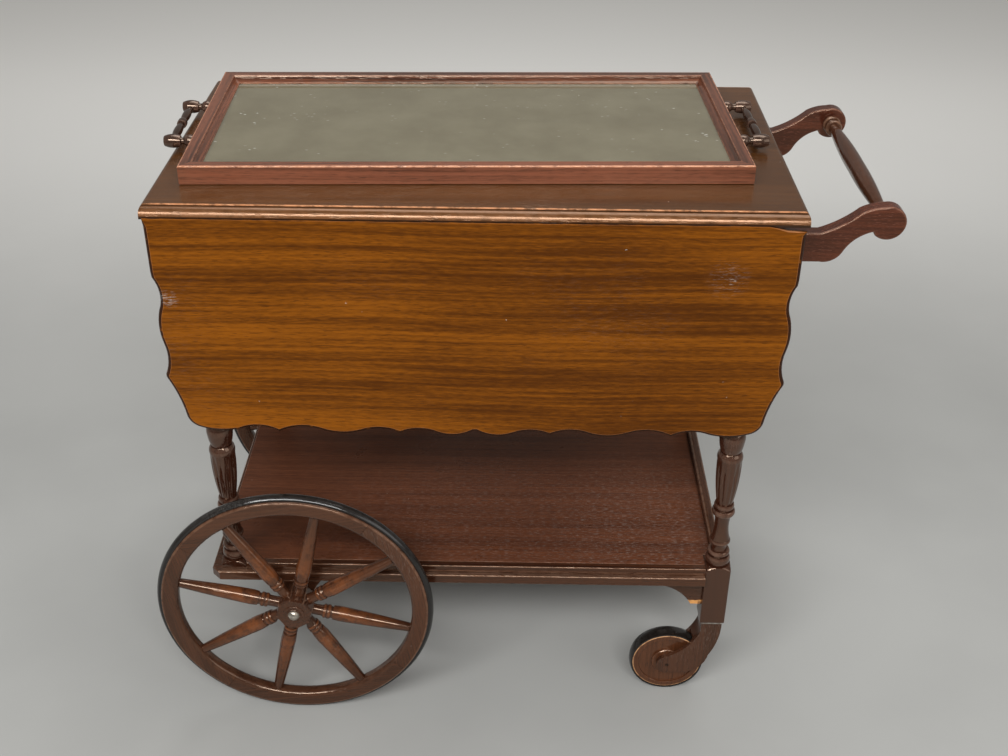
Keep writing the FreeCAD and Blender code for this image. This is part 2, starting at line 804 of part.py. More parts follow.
# Aprons: plain rails between the leg blocks, flush with the outer faces of the legs.
def make_aprons():
    upright = (f"{UNDERSIDE} - apron_high", UNDERSIDE)
    for side, sign in SIDES.items():
        inner = f"{sign} * ({FACE_Y} - apron_thick)"
        outer = f"{sign} * {FACE_Y}"
        across = (inner, outer) if sign > 0 else (outer, inner)
        rail = box(f"Apron{side.title()}", (f"-{INNER_X}", INNER_X), across, upright)
        keep(place(group(f"ApronPlace{side.title()}", [rail])), f"apron_{side}")
    for end, sign in (("left", -1), ("right", 1)):
        inner = f"{sign} * ({FACE_X} - apron_thick)"
        outer = f"{sign} * {FACE_X}"
        along = (inner, outer) if sign > 0 else (outer, inner)
        rail = box(f"Apron{end.title()}", along, (f"-{INNER_Y}", INNER_Y), upright)
        keep(place(group(f"ApronPlace{end.title()}", [rail])), f"apron_{end}")


# Leaf props: a rod that turns in the leg blocks with two arms that swing up under the leaf.
def make_props(side):
    name = side.title()
    reach = f"({INNER_X} + prop_seat - prop_end_gap)"
    rod = rod_along_x(f"PropRod{name}", "prop_rod_radius", f"-{reach}", reach)
    keep(at_prop(group(f"PropRodPlace{name}", [rod]), side), f"prop_rod_{side}")
    arms = []
    for end_name, way in (("Left", -1), ("Right", 1)):
        body = new_body(f"PropArm{name}{end_name}")
        sketch = outline(body, f"PropFace{name}{end_name}", "YZ_Plane", prop_outline(),
                         shift=("0", "0", f"{way} * prop_place"))
        pad(body, f"PropPad{name}{end_name}", sketch, "prop_thick", both=True)
        eye = disc(body, f"PropEye{name}{end_name}", "YZ_Plane", "prop_rod_radius + run_gap")
        pocket(body, f"PropHole{name}{end_name}", eye, both=True)
        arms.append(body)
    keep(at_prop(group(f"PropArms{name}", arms), side), f"prop_arms_{side}")


def prop_outline():
    """An arm with a round eye; its end is cut to lie flat under the raised leaf at 45 degrees."""
    half = "(prop_deep / 2)"
    reach = "(sqrt(2) * (apron_high + prop_drop - prop_gap))"
    shoulder = f"sqrt(prop_eye^2 - {half}^2)"
    return [
        (half, f"-({reach} + {half})"),
        (half, f"-{shoulder}"),
        (f"-{half}", f"-{shoulder}", f"prop_eye + {shoulder}"),
        (f"-{half}", f"-({reach} - {half})"),
    ]


def at_prop(item, side):
    return place(item, "0", f"{SIDES[side]} * {LEG_Y}", PROP_Z, facing(side))


# Shelf: a base board, a raised panel, two lips along its sides and a rail across its right end.
def make_shelf():
    rail_inner = f"({LEG_X} - end_rail_thick / 2)"
    notch_x = f"({INNER_X} - seat_gap)"
    notch_y = f"({INNER_Y} - seat_gap)"
    base = new_body("ShelfBase")
    board = [
        (f"-{SHELF_END} + shelf_clip", f"-{SHELF_Y}"),
        (notch_x, f"-{SHELF_Y}"),
        (notch_x, f"-{notch_y}"),
        (rail_inner, f"-{notch_y}"),
        (rail_inner, notch_y),
        (notch_x, notch_y),
        (notch_x, SHELF_Y),
        (f"-{SHELF_END} + shelf_clip", SHELF_Y),
        (f"-{SHELF_END}", f"{SHELF_Y} - shelf_clip"),
        (f"-{SHELF_END}", f"-{SHELF_Y} + shelf_clip"),
    ]
    pad(base, "ShelfBasePad", outline(base, "ShelfBaseFace", "XY_Plane", board), "shelf_thick")
    keep(place(base, z=SHELF_BOTTOM), "shelf_base")

    panel = new_body("ShelfPanel")
    panel_y = f"({FACE_Y} - lip_wide - seat_gap)"
    panel_end = f"({SHELF_END} - shelf_ledge)"
    top = [
        (f"-{panel_end}", f"-{notch_y}"),
        (f"-{notch_x}", f"-{notch_y}"),
        (f"-{notch_x}", f"-{panel_y}"),
        (notch_x, f"-{panel_y}"),
        (notch_x, f"-{notch_y}"),
        (rail_inner, f"-{notch_y}"),
        (rail_inner, notch_y),
        (notch_x, notch_y),
        (notch_x, panel_y),
        (f"-{notch_x}", panel_y),
        (f"-{notch_x}", notch_y),
        (f"-{panel_end}", notch_y),
    ]
    pad(panel, "ShelfPanelPad", outline(panel, "ShelfPanelFace", "XY_Plane", top), "panel_thick")
    keep(place(panel, z=LEDGE), "shelf_panel")

    lips = []
    upright = (LEDGE, f"{PANEL_TOP} + lip_proud")
    for side, sign in SIDES.items():
        inner = f"{sign} * ({FACE_Y} - lip_wide)"
        outer = f"{sign} * {FACE_Y}"
        across = (inner, outer) if sign > 0 else (outer, inner)
        lips.append(box(f"ShelfLip{side.title()}", (f"-{notch_x}", notch_x), across, upright))
    keep(place(group("ShelfLips", lips)), "shelf_lips")

    rail = box("EndRail", (rail_inner, f"{rail_inner} + end_rail_thick"), (f"-{notch_y}", notch_y),
               (SHELF_BOTTOM, f"{PANEL_TOP} + end_rail_proud"))
    keep(place(group("EndRailPlace", [rail])), "shelf_end_rail")


# Fan brackets: hollow-edged corner pieces between the right leg blocks and the shelf.
def make_bracket(side):
    name = side.title()
    body = new_body(f"Bracket{name}")
    corners = [
        ("0", "-bracket_high"),
        ("0", "0"),
        ("-bracket_long", "0"),
        ("-bracket_long", "-bracket_end"),
        ("-bracket_foot", "-bracket_high", "-bracket_hollow"),
    ]
    pad(body, f"BracketPad{name}", outline(body, f"BracketFace{name}", "XZ_Plane", corners),
        "bracket_thick", both=True)
    place(body, f"{INNER_X}", f"{SIDES[side]} * {LEG_Y}", SHELF_BOTTOM)
    keep(body, f"bracket_{side}")


# Axle and its two bearers under the shelf.
def make_axle():
    half = f"({WHEEL_Y} + hub_long / 2 - axle_end)"
    axle = doc.addObject("Part::Cylinder", "Axle")
    bind(axle, "Radius", "axle_radius")
    bind(axle, "Height", f"2 * {half}")
    place(axle, f"-{WHEEL_X}", half, WHEEL_RADIUS, about("x", 90))
    keep(axle, "wheel_axle")
    for side, sign in SIDES.items():
        name = side.title()
        body = new_body(f"Bearer{name}")
        corners = [
            ("-bearer_foot / 2", "-bearer_below", "-bearer_hollow"),
            ("bearer_foot / 2", "-bearer_below"),
            ("bearer_wide / 2", "axle_drop", "-bearer_hollow"),
            ("-bearer_wide / 2", "axle_drop"),
        ]
        sketch = outline(body, f"BearerFace{name}", "XZ_Plane", corners)
        pad(body, f"BearerPad{name}", sketch, "bearer_thick", both=True)
        bore = disc(body, f"BearerBore{name}", "XZ_Plane", "axle_radius + run_gap")
        pocket(body, f"BearerHole{name}", bore, both=True)
        place(body, f"-{WHEEL_X}", f"{sign} * ({SHELF_Y} - bearer_set - bearer_thick / 2)",
              WHEEL_RADIUS)
        keep(body, f"axle_bearer_{side}")


# Large wheel: drawn about Z with its outer face upwards, then stood up on the axle.
def make_wheel(side):
    name = side.title()
    inner = "(rim_radius - rim_wide)"
    half = "(rim_deep / 2)"
    bend = f"rim_round * {QUARTER_RISE}"
    ease = f"rim_edge * {QUARTER_RISE}"
    rim = new_body(f"Rim{name}")
    section = [
        (inner, f"{half} - rim_round", bend),
        (inner, f"-{half} + rim_round"),
        (f"{inner} + rim_round", f"-{half}", bend),
        ("rim_radius - rim_edge", f"-{half}"),
        ("rim_radius", f"-{half} + rim_edge", ease),
        ("rim_radius", f"{half} - rim_edge"),
        ("rim_radius - rim_edge", half, ease),
        (f"{inner} + rim_round", half),
    ]
    revolve(rim, f"RimTurning{name}", outline(rim, f"RimSection{name}", "XZ_Plane", section))
    keep(on_axle(rim, side), f"wheel_rim_{side}")

    tyre = new_body(f"Tyre{name}")
    tread = [
        ("rim_radius + run_gap", "-tyre_wide / 2"),
        ("rim_radius + tyre_thick / 2", "-tyre_wide / 2"),
        ("rim_radius + tyre_thick / 2", "tyre_wide / 2", "tyre_thick / 2"),
        ("rim_radius + run_gap", "tyre_wide / 2"),
    ]
    revolve(tyre, f"TyreTurning{name}", outline(tyre, f"TyreSection{name}", "XZ_Plane", tread))
    keep(on_axle(tyre, side), f"wheel_tyre_{side}")

    make_hub(side)
    make_spokes(side)
    cap = new_body(f"Cap{name}")
    face = "(hub_long / 2 + hub_collar_proud)"
    chord = "(cap_radius^2 + cap_high^2)"
    sphere = f"({chord} / (2 * cap_high))"
    dome = [
        ("0", face),
        ("cap_radius", face),
        ("0", f"{face} + cap_high", f"{sphere} - sqrt({sphere}^2 - {chord} / 4)"),
    ]
    revolve(cap, f"CapTurning{name}", outline(cap, f"CapSection{name}", "XZ_Plane", dome))
    keep(on_axle(cap, side), f"hub_cap_{side}")


def on_axle(item, side):
    """Stand a wheel's piece upright, with its outer face away from the shelf."""
    tilt = about("x", 90 if side == "front" else -90)
    spun = tilt.multiply(about("z", value("spoke_turn")))
    return place(item, f"-{WHEEL_X}", f"{SIDES[side]} * {WHEEL_Y}", WHEEL_RADIUS, spun)


def make_hub(side):
    """An eight-sided block with raised rings on its outer face and a bore for the axle."""
    name = side.title()
    hub = new_body(f"Hub{name}")
    step = FULL_TURN / SIZES["spoke_count"]
    reach = f"(hub_flats / 2 / cos({step / 2}))"
    corners = [(f"{reach} * cos({step * (index + 0.5)})", f"{reach} * sin({step * (index + 0.5)})")
               for index in range(SIZES["spoke_count"])]
    block = pad(hub, f"HubPad{name}", outline(hub, f"HubFace{name}", "XY_Plane", corners),
                "hub_long", both=True)
    chamfer_level_edges(hub, f"HubChamfer{name}", block, "hub_long / 2", "hub_edge")
    rings = [
        ("0", "0"),
        ("hub_ring_radius", "0"),
        ("hub_ring_radius", "hub_long / 2 + hub_ring_proud"),
        ("hub_collar_radius", "hub_long / 2 + hub_ring_proud"),
        ("hub_collar_radius", "hub_long / 2 + hub_collar_proud"),
        ("0", "hub_long / 2 + hub_collar_proud"),
    ]
    revolve(hub, f"HubRings{name}", outline(hub, f"HubRingSection{name}", "XZ_Plane", rings))
    bore = disc(hub, f"HubBore{name}", "XY_Plane", "axle_radius + run_gap")
    pocket(hub, f"HubHole{name}", bore, both=True)
    keep(on_axle(hub, side), f"wheel_hub_{side}")


def make_spokes(side):
    """Turned spokes from the flats of the hub to the inside of the rim."""
    name = side.title()
    body = new_body(f"Spokes{name}")
    start = "hub_flats / 2"
    stop = "rim_radius - rim_wide - seat_gap"
    profile = [(height, radius) + tuple(rest) for radius, height, *rest in
               reversed(list(flip_swell(stacked(SPOKE_TURNING, start))))]
    loop = [(start, "0"), (stop, "0"), (stop, "spoke_tip_radius")]
    loop += [profile[0][:2] + ("spoke_tip_swell",)] + profile[1:]
    spoke = revolve(body, f"SpokeTurning{name}", outline(body, f"SpokeProfile{name}", "XZ_Plane", loop),
                    "H_Axis")
    axis = next(item for item in body.Origin.OriginFeatures if item.Role == "Z_Axis")
    around = body.newObject("PartDesign::PolarPattern", f"SpokeCircle{name}")
    around.Originals = [spoke]
    around.Axis = (axis, [""])
    around.Angle = FULL_TURN
    bind(around, "Occurrences", "spoke_count")
    body.Tip = around
    keep(on_axle(body, side), f"wheel_spokes_{side}")


def flip_swell(corners):
    """Move each arc's rise to its other end, for a profile that is followed backwards."""
    following = corners[1:] + [corners[-1][:2]]
    for corner, after in zip(corners, following):
        yield corner[:2] + tuple(after[2:])


# Caster: a horn with two cheeks on a swivel pivot, with a small wheel trailing behind it.
# The horn's edge goes round the eye from the first of these angles to the second, in degrees.
HORN_EYE_ARC = (100, 300)


def make_caster(side):
    name = side.title()
    half = "(horn_wide / 2)"
    eye_x = "(-caster_trail)"
    eye_z = "(caster_radius)"
    back, low = HORN_EYE_ARC
    corners = [
        (half, "caster_top", "horn_neck_swell"),
        (f"-{half}", "caster_top"),
        (f"-{half}", "caster_top - horn_crown"),
        (f"{eye_x} + horn_eye * cos({back})", f"{eye_z} + horn_eye * sin({back})", "-horn_back_hollow"),
        (f"{eye_x} + horn_eye * cos({low})", f"{eye_z} + horn_eye * sin({low})",
         f"horn_eye * (1 - cos({(low - back) / 2}))"),
        ("0", "horn_knee", "horn_front_swell"),
    ]
    horn = new_body(f"Horn{name}")
    pad(horn, f"HornPad{name}", outline(horn, f"HornFace{name}", "XZ_Plane", corners),
        "horn_thick", both=True)
    room = disc(horn, f"HornRoom{name}", "XZ_Plane", "caster_radius + caster_wheel_room", eye_x, eye_z)
    pocket(horn, f"HornSlot{name}", room, "horn_slot", both=True)
    hole = disc(horn, f"HornHole{name}", "XZ_Plane", "caster_pin_radius + run_gap", eye_x, eye_z)
    pocket(horn, f"HornBore{name}", hole, both=True)
    keep(at_caster(horn, side), f"caster_horn_{side}")

    pivot = new_body(f"Pivot{name}")
    plate = outline(pivot, f"PivotFace{name}", "XY_Plane", square("(pivot_square / 2)"),
                    shift=("0", "0", "caster_top"))
    pad(pivot, f"PivotPlate{name}", plate, "pivot_plate")
    stem = disc(pivot, f"PivotRing{name}", "XY_Plane", "pivot_radius", shift=("0", "0", "caster_top"))
    pad(pivot, f"PivotStem{name}", stem, "pivot_plate + swivel_gap + pivot_long")
    keep(at_caster(pivot, side), f"caster_pivot_{side}")

    pin = doc.addObject("Part::Cylinder", f"CasterPin{name}")
    bind(pin, "Radius", "caster_pin_radius")
    bind(pin, "Height", "horn_thick")
    keep(on_caster_pin(pin, side, "horn_thick / 2"), f"caster_axle_{side}")
    make_caster_wheel(side)


def make_caster_wheel(side):
    name = side.title()
    boss = "(horn_slot / 2 - caster_side_gap)"
    half = "(caster_wide / 2)"
    ring = "(caster_radius - caster_tyre)"
    web = f"({half} - caster_recess)"
    bore = "(caster_pin_radius + run_gap)"
    upper = [
        (ring, half),
        (f"{ring} - caster_band", half),
        (f"{ring} - caster_band", web),
        ("caster_boss_radius", web),
        ("caster_boss_radius", boss),
        (bore, boss),
    ]
    lower = [(radius, f"-{height}") for radius, height in reversed(upper)]
    wheel = new_body(f"CasterWheel{name}")
    revolve(wheel, f"CasterTurning{name}",
            outline(wheel, f"CasterSection{name}", "XZ_Plane", upper + lower))
    keep(on_caster_pin(wheel, side), f"caster_wheel_{side}")

    tyre = new_body(f"CasterTyre{name}")
    tread = [
        (f"{ring} + run_gap", f"-{half}"),
        (f"{ring} + caster_tyre / 2", f"-{half}"),
        (f"{ring} + caster_tyre / 2", half, "caster_tyre / 2"),
        (f"{ring} + run_gap", half),
    ]
    revolve(tyre, f"CasterTread{name}", outline(tyre, f"CasterTreadSection{name}", "XZ_Plane", tread))
    keep(on_caster_pin(tyre, side), f"caster_tyre_{side}")


def at_caster(item, side):
    return place(item, LEG_X, f"{SIDES[side]} * {LEG_Y}", "0")


def on_caster_pin(item, side, outward="0"):
    """Put a round piece on the caster's own axle, with its Z axis across the trolley."""
    return place(item, f"{LEG_X} - caster_trail", f"{SIDES[side]} * {LEG_Y} + {outward}",
                 "caster_radius", about("x", 90))


def make_sockets():
    """Tubes in the right legs that the caster stems turn in."""
    tubes = []
    for side, sign in SIDES.items():
        name = side.title()
        outer = doc.addObject("Part::Cylinder", f"SocketOuter{name}")
        bind(outer, "Radius", SOCKET_RADIUS)
        bind(outer, "Height", "socket_long")
        hole = doc.addObject("Part::Cylinder", f"SocketHole{name}")
        bind(hole, "Radius", "pivot_radius + run_gap")
        bind(hole, "Height", "socket_long")
        tube = difference(f"Socket{name}", outer, hole)
        tubes.append(place(tube, LEG_X, f"{sign} * {LEG_Y}", LEG_BOTTOM))
    keep(group("Sockets", tubes), "caster_sockets")


# Push handle: two scrolled arms on the right apron and a turned rail between their scrolls.
# An arm's edge goes round its scroll from the first of these angles over the second to the third.
SCROLL_ARC = (228, 360, 467)


def arm_outline():
    """Drawn from the apron's face outwards and from the underside of the top downwards."""
    scroll_z = "(-scroll_drop)"

    def on_scroll(angle):
        return (f"scroll_reach + scroll_radius * cos({angle})",
                f"{scroll_z} + scroll_radius * sin({angle})")

    def bulge(first, last):
        return f"scroll_radius * (1 - cos({(last - first) / 2}))"

    low, right, crown = SCROLL_ARC
    return [
        ("0", "arm_high - arm_low"),
        ("0", "-arm_low"),
        ("arm_belly", "-arm_low"),
        ("scroll_reach - arm_waist_in", f"{scroll_z} - arm_waist_low", "arm_belly_swell"),
        ("scroll_reach - arm_notch_in", f"{scroll_z} - arm_notch_low", "-arm_waist_hollow"),
        on_scroll(low),
        on_scroll(right) + (bulge(low, right),),
        on_scroll(crown) + (bulge(right, crown),),
        ("scroll_reach - arm_crest_in", f"{scroll_z} + arm_crest_up", "arm_crest_swell"),
        ("scroll_reach - arm_sway_in", f"{scroll_z} - arm_sway_low", "-arm_sway_hollow"),
    ]


def make_push_handle():
    for side, sign in SIDES.items():
        name = side.title()
        arm = new_body(f"Arm{name}")
        pad(arm, f"ArmPad{name}", outline(arm, f"ArmFace{name}", "XZ_Plane", arm_outline()),
            "arm_thick", both=True)
        keep(place(arm, FACE_X, f"{sign} * arm_spread / 2", UNDERSIDE), f"handle_arm_{side}")
    rail = new_body("HandleRail")
    half = "((arm_spread - arm_thick) / 2)"
    lower = stacked(RAIL_TURNING, f"-{half}")
    middle = ("rail_middle_radius", "0", "rail_middle_swell")
    upper = mirrored(lower, "rail_middle_swell")
    loop = [("0", half), ("0", f"-{half}")] + lower + [middle] + upper
    revolve(rail, "RailTurning", outline(rail, "RailProfile", "XZ_Plane", loop))
    place(rail, f"{FACE_X} + scroll_reach", "0", f"{UNDERSIDE} - scroll_drop", about("x", 90))
    keep(rail, "handle_rail")


def mirrored(corners, *swell):
    """The other half of a stack that is the same both ways from its middle."""
    other = []
    for corner in reversed(corners):
        other.append((corner[0], f"-({corner[1]})") + swell)
        swell = tuple(corner[2:])
    return other


# Tray: a mitred frame round a base and a glass, with a turned handle at each end.
def on_top(item, half_turn=False):
    turn = "tray_turn + 180" if half_turn else "tray_turn"
    return place(item, "tray_x", "tray_y", f"{TOP} + tray_gap", turn=turn)


def tray_section():
    """The frame's section from its outer face inwards: a flat top, then a slope to the glass."""
    glass_top = "(tray_base_low + tray_base_thick + tray_glass_thick)"
    return [
        ("0", "0"),
        ("tray_frame_wide", "0"),
        ("tray_frame_wide", f"{glass_top} + tray_edge"),
        ("tray_flat", "tray_high", "-tray_edge / 2"),
        ("tray_edge", "tray_high"),
        ("0", "tray_high - tray_edge", f"tray_edge * {QUARTER_RISE}"),
    ]


def make_tray():
    half_long = "(tray_long / 2)"
    half_wide = "(tray_wide / 2)"
    members = []
    for half_turn in (False, True):
        name = "Far" if half_turn else "Near"
        length = new_body(f"TraySide{name}")
        corners = [(f"{x} - {half_wide}",) + tuple(rest) for x, *rest in tray_section()]
        pad(length, f"TraySidePad{name}", outline(length, f"TraySideSection{name}", "YZ_Plane", corners),
            "tray_long", both=True)
        inner = f"-{half_wide} + tray_frame_wide"
        left = [(f"-{half_long}", f"-{half_wide}"), (f"-{half_long} + tray_frame_wide", inner),
                (f"-{half_long}", inner)]
        right = [(half_long, f"-{half_wide}"), (half_long, inner),
                 (f"{half_long} - tray_frame_wide", inner)]
        pocket(length, f"TraySideMitre{name}",
               outline(length, f"TraySideWaste{name}", "XY_Plane", left, right), both=True)
        members.append(on_top(length, half_turn))

        end = new_body(f"TrayEnd{name}")
        corners = [(f"{x} - {half_long}",) + tuple(rest) for x, *rest in tray_section()]
        pad(end, f"TrayEndPad{name}", outline(end, f"TrayEndSection{name}", "XZ_Plane", corners),
            "tray_wide", both=True)
        inner = f"-{half_long} + tray_frame_wide"
        low = [(f"-{half_long}", f"-{half_wide}"), (inner, f"-{half_wide}"),
               (inner, f"-{half_wide} + tray_frame_wide")]
        high = [(f"-{half_long}", half_wide), (inner, f"{half_wide} - tray_frame_wide"),
                (inner, half_wide)]
        pocket(end, f"TrayEndMitre{name}",
               outline(end, f"TrayEndWaste{name}", "XY_Plane", low, high), both=True)
        members.append(on_top(end, half_turn))
        make_tray_handle("right" if half_turn else "left", half_turn)
    keep(group("TrayFrame", members), "tray_frame")

    inside = rectangle(tuple(f"{sign}({half_long} - tray_frame_wide - seat_gap)" for sign in ("-", "")),
                       tuple(f"{sign}({half_wide} - tray_frame_wide - seat_gap)" for sign in ("-", "")))
    base = new_body("TrayBase")
    pad(base, "TrayBasePad", outline(base, "TrayBaseFace", "XY_Plane", inside,
                                     shift=("0", "0", "tray_base_low")), "tray_base_thick")
    keep(on_top(base), "tray_base")
    glass = new_body("TrayGlass")
    pad(glass, "TrayGlassPad", outline(glass, "TrayGlassFace", "XY_Plane", inside,
                                       shift=("0", "0", "tray_base_low + tray_base_thick")),
        "tray_glass_thick")
    keep(on_top(glass), "tray_glass")


def make_tray_handle(end, half_turn):
    """Two turned posts that stand out of the end of the tray, and a turned grip between them."""
    name = end.title()
    body = new_body(f"TrayHandle{name}")
    half_long = "(tray_long / 2)"
    post_long = total(POST_TURNING)
    posts = [(f"-({height}) - {half_long}", radius) + tuple(rest)
             for radius, height, *rest in stacked(POST_TURNING)]
    outer_end = f"-{post_long} - {half_long}"
    loop = [(outer_end, "0"), (f"-{half_long}", "0")] + posts
    for spot, way in (("Low", 1), ("High", -1)):
        sketch = outline(body, f"Post{spot}{name}", "XZ_Plane", loop,
                         shift=("0", "tray_axis_high", f"{way} * tray_post_spread / 2"))
        revolve(body, f"PostTurning{spot}{name}", sketch, "H_Axis")
    half = "(tray_post_spread / 2)"
    start = f"-{half}"
    lower = stacked(GRIP_TURNING, start)
    centre = [("grip_ring_radius", f"{start} + {total(GRIP_TURNING)}")]
    grip = lower + centre
    upper = [(grip[-1][0], f"-({grip[-1][1]})", "grip_ring_swell")] + mirrored(lower)
    grip_loop = [(height, radius) + tuple(rest) for radius, height, *rest in grip + upper]
    loop = [(half, "0"), (f"-{half}", "0")] + grip_loop
    sketch = outline(body, f"Grip{name}", "YZ_Plane", reversed_loop(loop),
                     shift=("0", "tray_axis_high", f"-{half_long} - {post_long} + grip_set_back"))
    revolve(body, f"GripTurning{name}", sketch, "H_Axis")
    keep(on_top(body, half_turn), f"tray_handle_{end}")


def reversed_loop(corners):
    """The same loop the other way round, with each arc kept between its two corners."""
    following = corners[1:] + corners[:1]
    return [corner[:2] + tuple(after[2:]) for corner, after in zip(corners, following)][::-1]


def check_document():
    """Stop if an object failed or a sub-part has no sound solid."""
    doc.recompute()
    for item in doc.Objects:
        if "Invalid" in item.State or "Error" in item.State:
            raise RuntimeError(f"{item.Name} failed: {item.State}")
    for item in SUBPARTS:
        if item.Shape.isNull() or not item.Shape.isValid() or not item.Shape.Solids:
            raise RuntimeError(f"{item.Label} has no sound solid")


def write_parts():
    os.makedirs("parts", exist_ok=True)
    for item in SUBPARTS:
        item.Shape.exportStep(f"parts/{item.Label}.step")
        print(f"{item.Label}: {len(item.Shape.Solids)} solids, {item.Shape.Volume / 1000:.1f} cm3")


make_top_board()
make_hinges()
make_aprons()
make_shelf()
make_axle()
make_sockets()
make_push_handle()
make_tray()
for each_side in SIDES:
    make_leaf(each_side)
    make_props(each_side)
    make_bracket(each_side)
    make_wheel(each_side)
    make_caster(each_side)
    for each_end in ("left", "right"):
        make_leg(each_side, each_end)
check_document()
write_parts()
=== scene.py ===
# %% [markdown]
# # A drop leaf tea trolley
# The trolley is a small table on turned legs with two hanging leaves, a shelf, two spoked wheels, two
# casters, a push handle and a loose tray. Its construction comes packed as a frame of solids at real
# size, and this lesson dresses that frame. Hinges, pins, props and the tray's board and pane keep their
# solids and only get a finish. All other pieces, such as the leaves, turned legs, wheels and tray, are
# made again, nearly all as surfaces worked out with numpy, so that edges are eased, flutes are cut and
# the grain follows each piece.

# %% Load the frame
import math

import bmesh
import bpy
import numpy as np
from mathutils import Matrix, Vector


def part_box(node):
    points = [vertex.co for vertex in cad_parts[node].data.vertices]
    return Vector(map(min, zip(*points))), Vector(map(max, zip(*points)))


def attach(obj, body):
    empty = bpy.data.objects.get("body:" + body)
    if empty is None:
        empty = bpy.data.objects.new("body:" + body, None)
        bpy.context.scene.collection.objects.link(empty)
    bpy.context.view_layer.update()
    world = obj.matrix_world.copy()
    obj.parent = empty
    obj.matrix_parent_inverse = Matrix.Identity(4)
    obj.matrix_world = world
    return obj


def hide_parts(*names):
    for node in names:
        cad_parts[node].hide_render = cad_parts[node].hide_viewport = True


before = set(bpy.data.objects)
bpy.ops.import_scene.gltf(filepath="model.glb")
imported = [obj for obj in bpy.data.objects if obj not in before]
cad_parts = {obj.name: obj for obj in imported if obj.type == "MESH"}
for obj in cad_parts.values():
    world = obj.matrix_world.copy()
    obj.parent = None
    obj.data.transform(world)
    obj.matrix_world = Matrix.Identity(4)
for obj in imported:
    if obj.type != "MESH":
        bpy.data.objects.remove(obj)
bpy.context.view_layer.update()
MM = 0.001
SIDES = {"front": -1, "back": 1}
X, Y, Z = np.eye(3)

# %% [markdown]
# ## From numbers to a mesh
# Every new surface is a grid of points: rows one way, columns the other. A shell holds the points, the
# faces between neighbours, and two values per point for the finishes: `grain`, the place in the plank
# that the piece was cut from with the fibres along its first axis, and `edge`, which is 1 on an arris
# that hands and dusters rub; on some pieces `edge` also places painted highlights and painted shade.
# Blender could spin or extrude such shapes too, but a grid gives both values for nothing.

# %% Grids and pieces
MERGE = 1e-6
SHARP = 35


def grid_faces(index):
    """Faces between the neighbours of a grid of point numbers."""
    cells = [index[:-1, :-1], index[:-1, 1:], index[1:, 1:], index[1:, :-1]]
    return np.stack(cells, axis=-1).reshape(-1, 4).tolist()


def tube_faces(rows, columns):
    """Faces between the points of rings, whose last column joins the first."""
    index = np.arange(rows * columns).reshape(rows, columns)
    return grid_faces(np.hstack([index, index[:, :1]]))


def capped_tube(points, grain, edge):
    """A shell from a grid of rings, with one flat face over the first ring and one over the last."""
    rows, columns = points.shape[:2]
    count = rows * columns
    faces = tube_faces(rows, columns)
    faces += [list(range(columns)), list(range(count - columns, count))]
    return {"points": points.reshape(-1, 3), "faces": faces, "grain": grain.reshape(-1, 3),
            "edge": np.broadcast_to(edge, (rows, columns)).reshape(-1)}


def joined(shells):
    """Several shells as one: their arrays end to end, with each face's indices moved up."""
    starts = np.cumsum([0] + [len(shell["points"]) for shell in shells])
    faces = [[corner + start for corner in face]
             for shell, start in zip(shells, starts.tolist()) for face in shell["faces"]]
    whole = {key: np.concatenate([shell[key] for shell in shells]) for key in ("points", "grain", "edge")}
    return {**whole, "faces": faces}


def make_piece(name, shells, body, slot, replaces=(), sharp=SHARP, finish=None):
    """A mesh object from closed shells, with the grain and edge values, riding on a body."""
    shell = joined(shells)
    mesh = bpy.data.meshes.new(name)
    mesh.from_pydata(shell["points"].tolist(), [], shell["faces"])
    mesh.attributes.new("grain", "FLOAT_VECTOR", "POINT").data.foreach_set("vector", shell["grain"].ravel())
    mesh.attributes.new("edge", "FLOAT", "POINT").data.foreach_set("value", shell["edge"])
    close_seams(mesh)
    mesh.shade_smooth()
    mesh.set_sharp_from_angle(angle=math.radians(sharp))
    piece = bpy.data.objects.new(name, mesh)
    bpy.context.collection.objects.link(piece)
    even = piece.modifiers.new("flat faces stay flat", "WEIGHTED_NORMAL")
    even.keep_sharp = True
    mesh.materials.append(finishes[finish or slot])
    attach(piece, body)
    if replaces:
        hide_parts(*replaces)
    return piece


def close_seams(mesh):
    """Merge the points that seams share and turn every face outwards."""
    work = bmesh.new()
    work.from_mesh(mesh)
    bmesh.ops.remove_doubles(work, verts=work.verts, dist=MERGE)
    bmesh.ops.recalc_face_normals(work, faces=work.faces)
    work.to_mesh(mesh)
    work.free()


# %% [markdown]
# ## Shader helpers
# Procedural finishes are node trees. A few short helpers keep the recipes readable: one adds a node and
# fills its sockets, the others are the arithmetic, noise and mixing that every recipe uses.

# %% Node helpers
def fill(tree, socket, item):
    """Set a socket to a number or colour, or link it to another node's output."""
    if isinstance(item, bpy.types.NodeSocket):
        tree.links.new(item, socket)
    elif socket.type == "RGBA":
        socket.default_value = (*item, 1)
    else:
        socket.default_value = item


def fill_all(tree, inputs, sockets):
    """Fill several sockets by their names or numbers."""
    for key, item in sockets.items():
        fill(tree, inputs[key], item)


def add_node(tree, kind, sockets=None, **settings):
    """A new node with its settings made and its sockets filled."""
    made = tree.nodes.new(kind)
    for key, item in settings.items():
        setattr(made, key, item)
    fill_all(tree, made.inputs, sockets or {})
    return made


def maths(tree, operation, first, second=0.0):
    """The outcome of one sum on two numbers."""
    return add_node(tree, "ShaderNodeMath", {0: first, 1: second}, operation=operation).outputs[0]


def mixed(tree, share, first, second):
    """A colour between two others."""
    return add_node(tree, "ShaderNodeMix", {0: share, 6: first, 7: second}, data_type="RGBA").outputs[2]


def ramped(tree, item, low, high, first=0.0, last=1.0):
    """A value eased from first to last while another goes from low to high."""
    sockets = {"Value": item, "From Min": low, "From Max": high, "To Min": first, "To Max": last}
    return add_node(tree, "ShaderNodeMapRange", sockets, interpolation_type="SMOOTHSTEP").outputs[0]


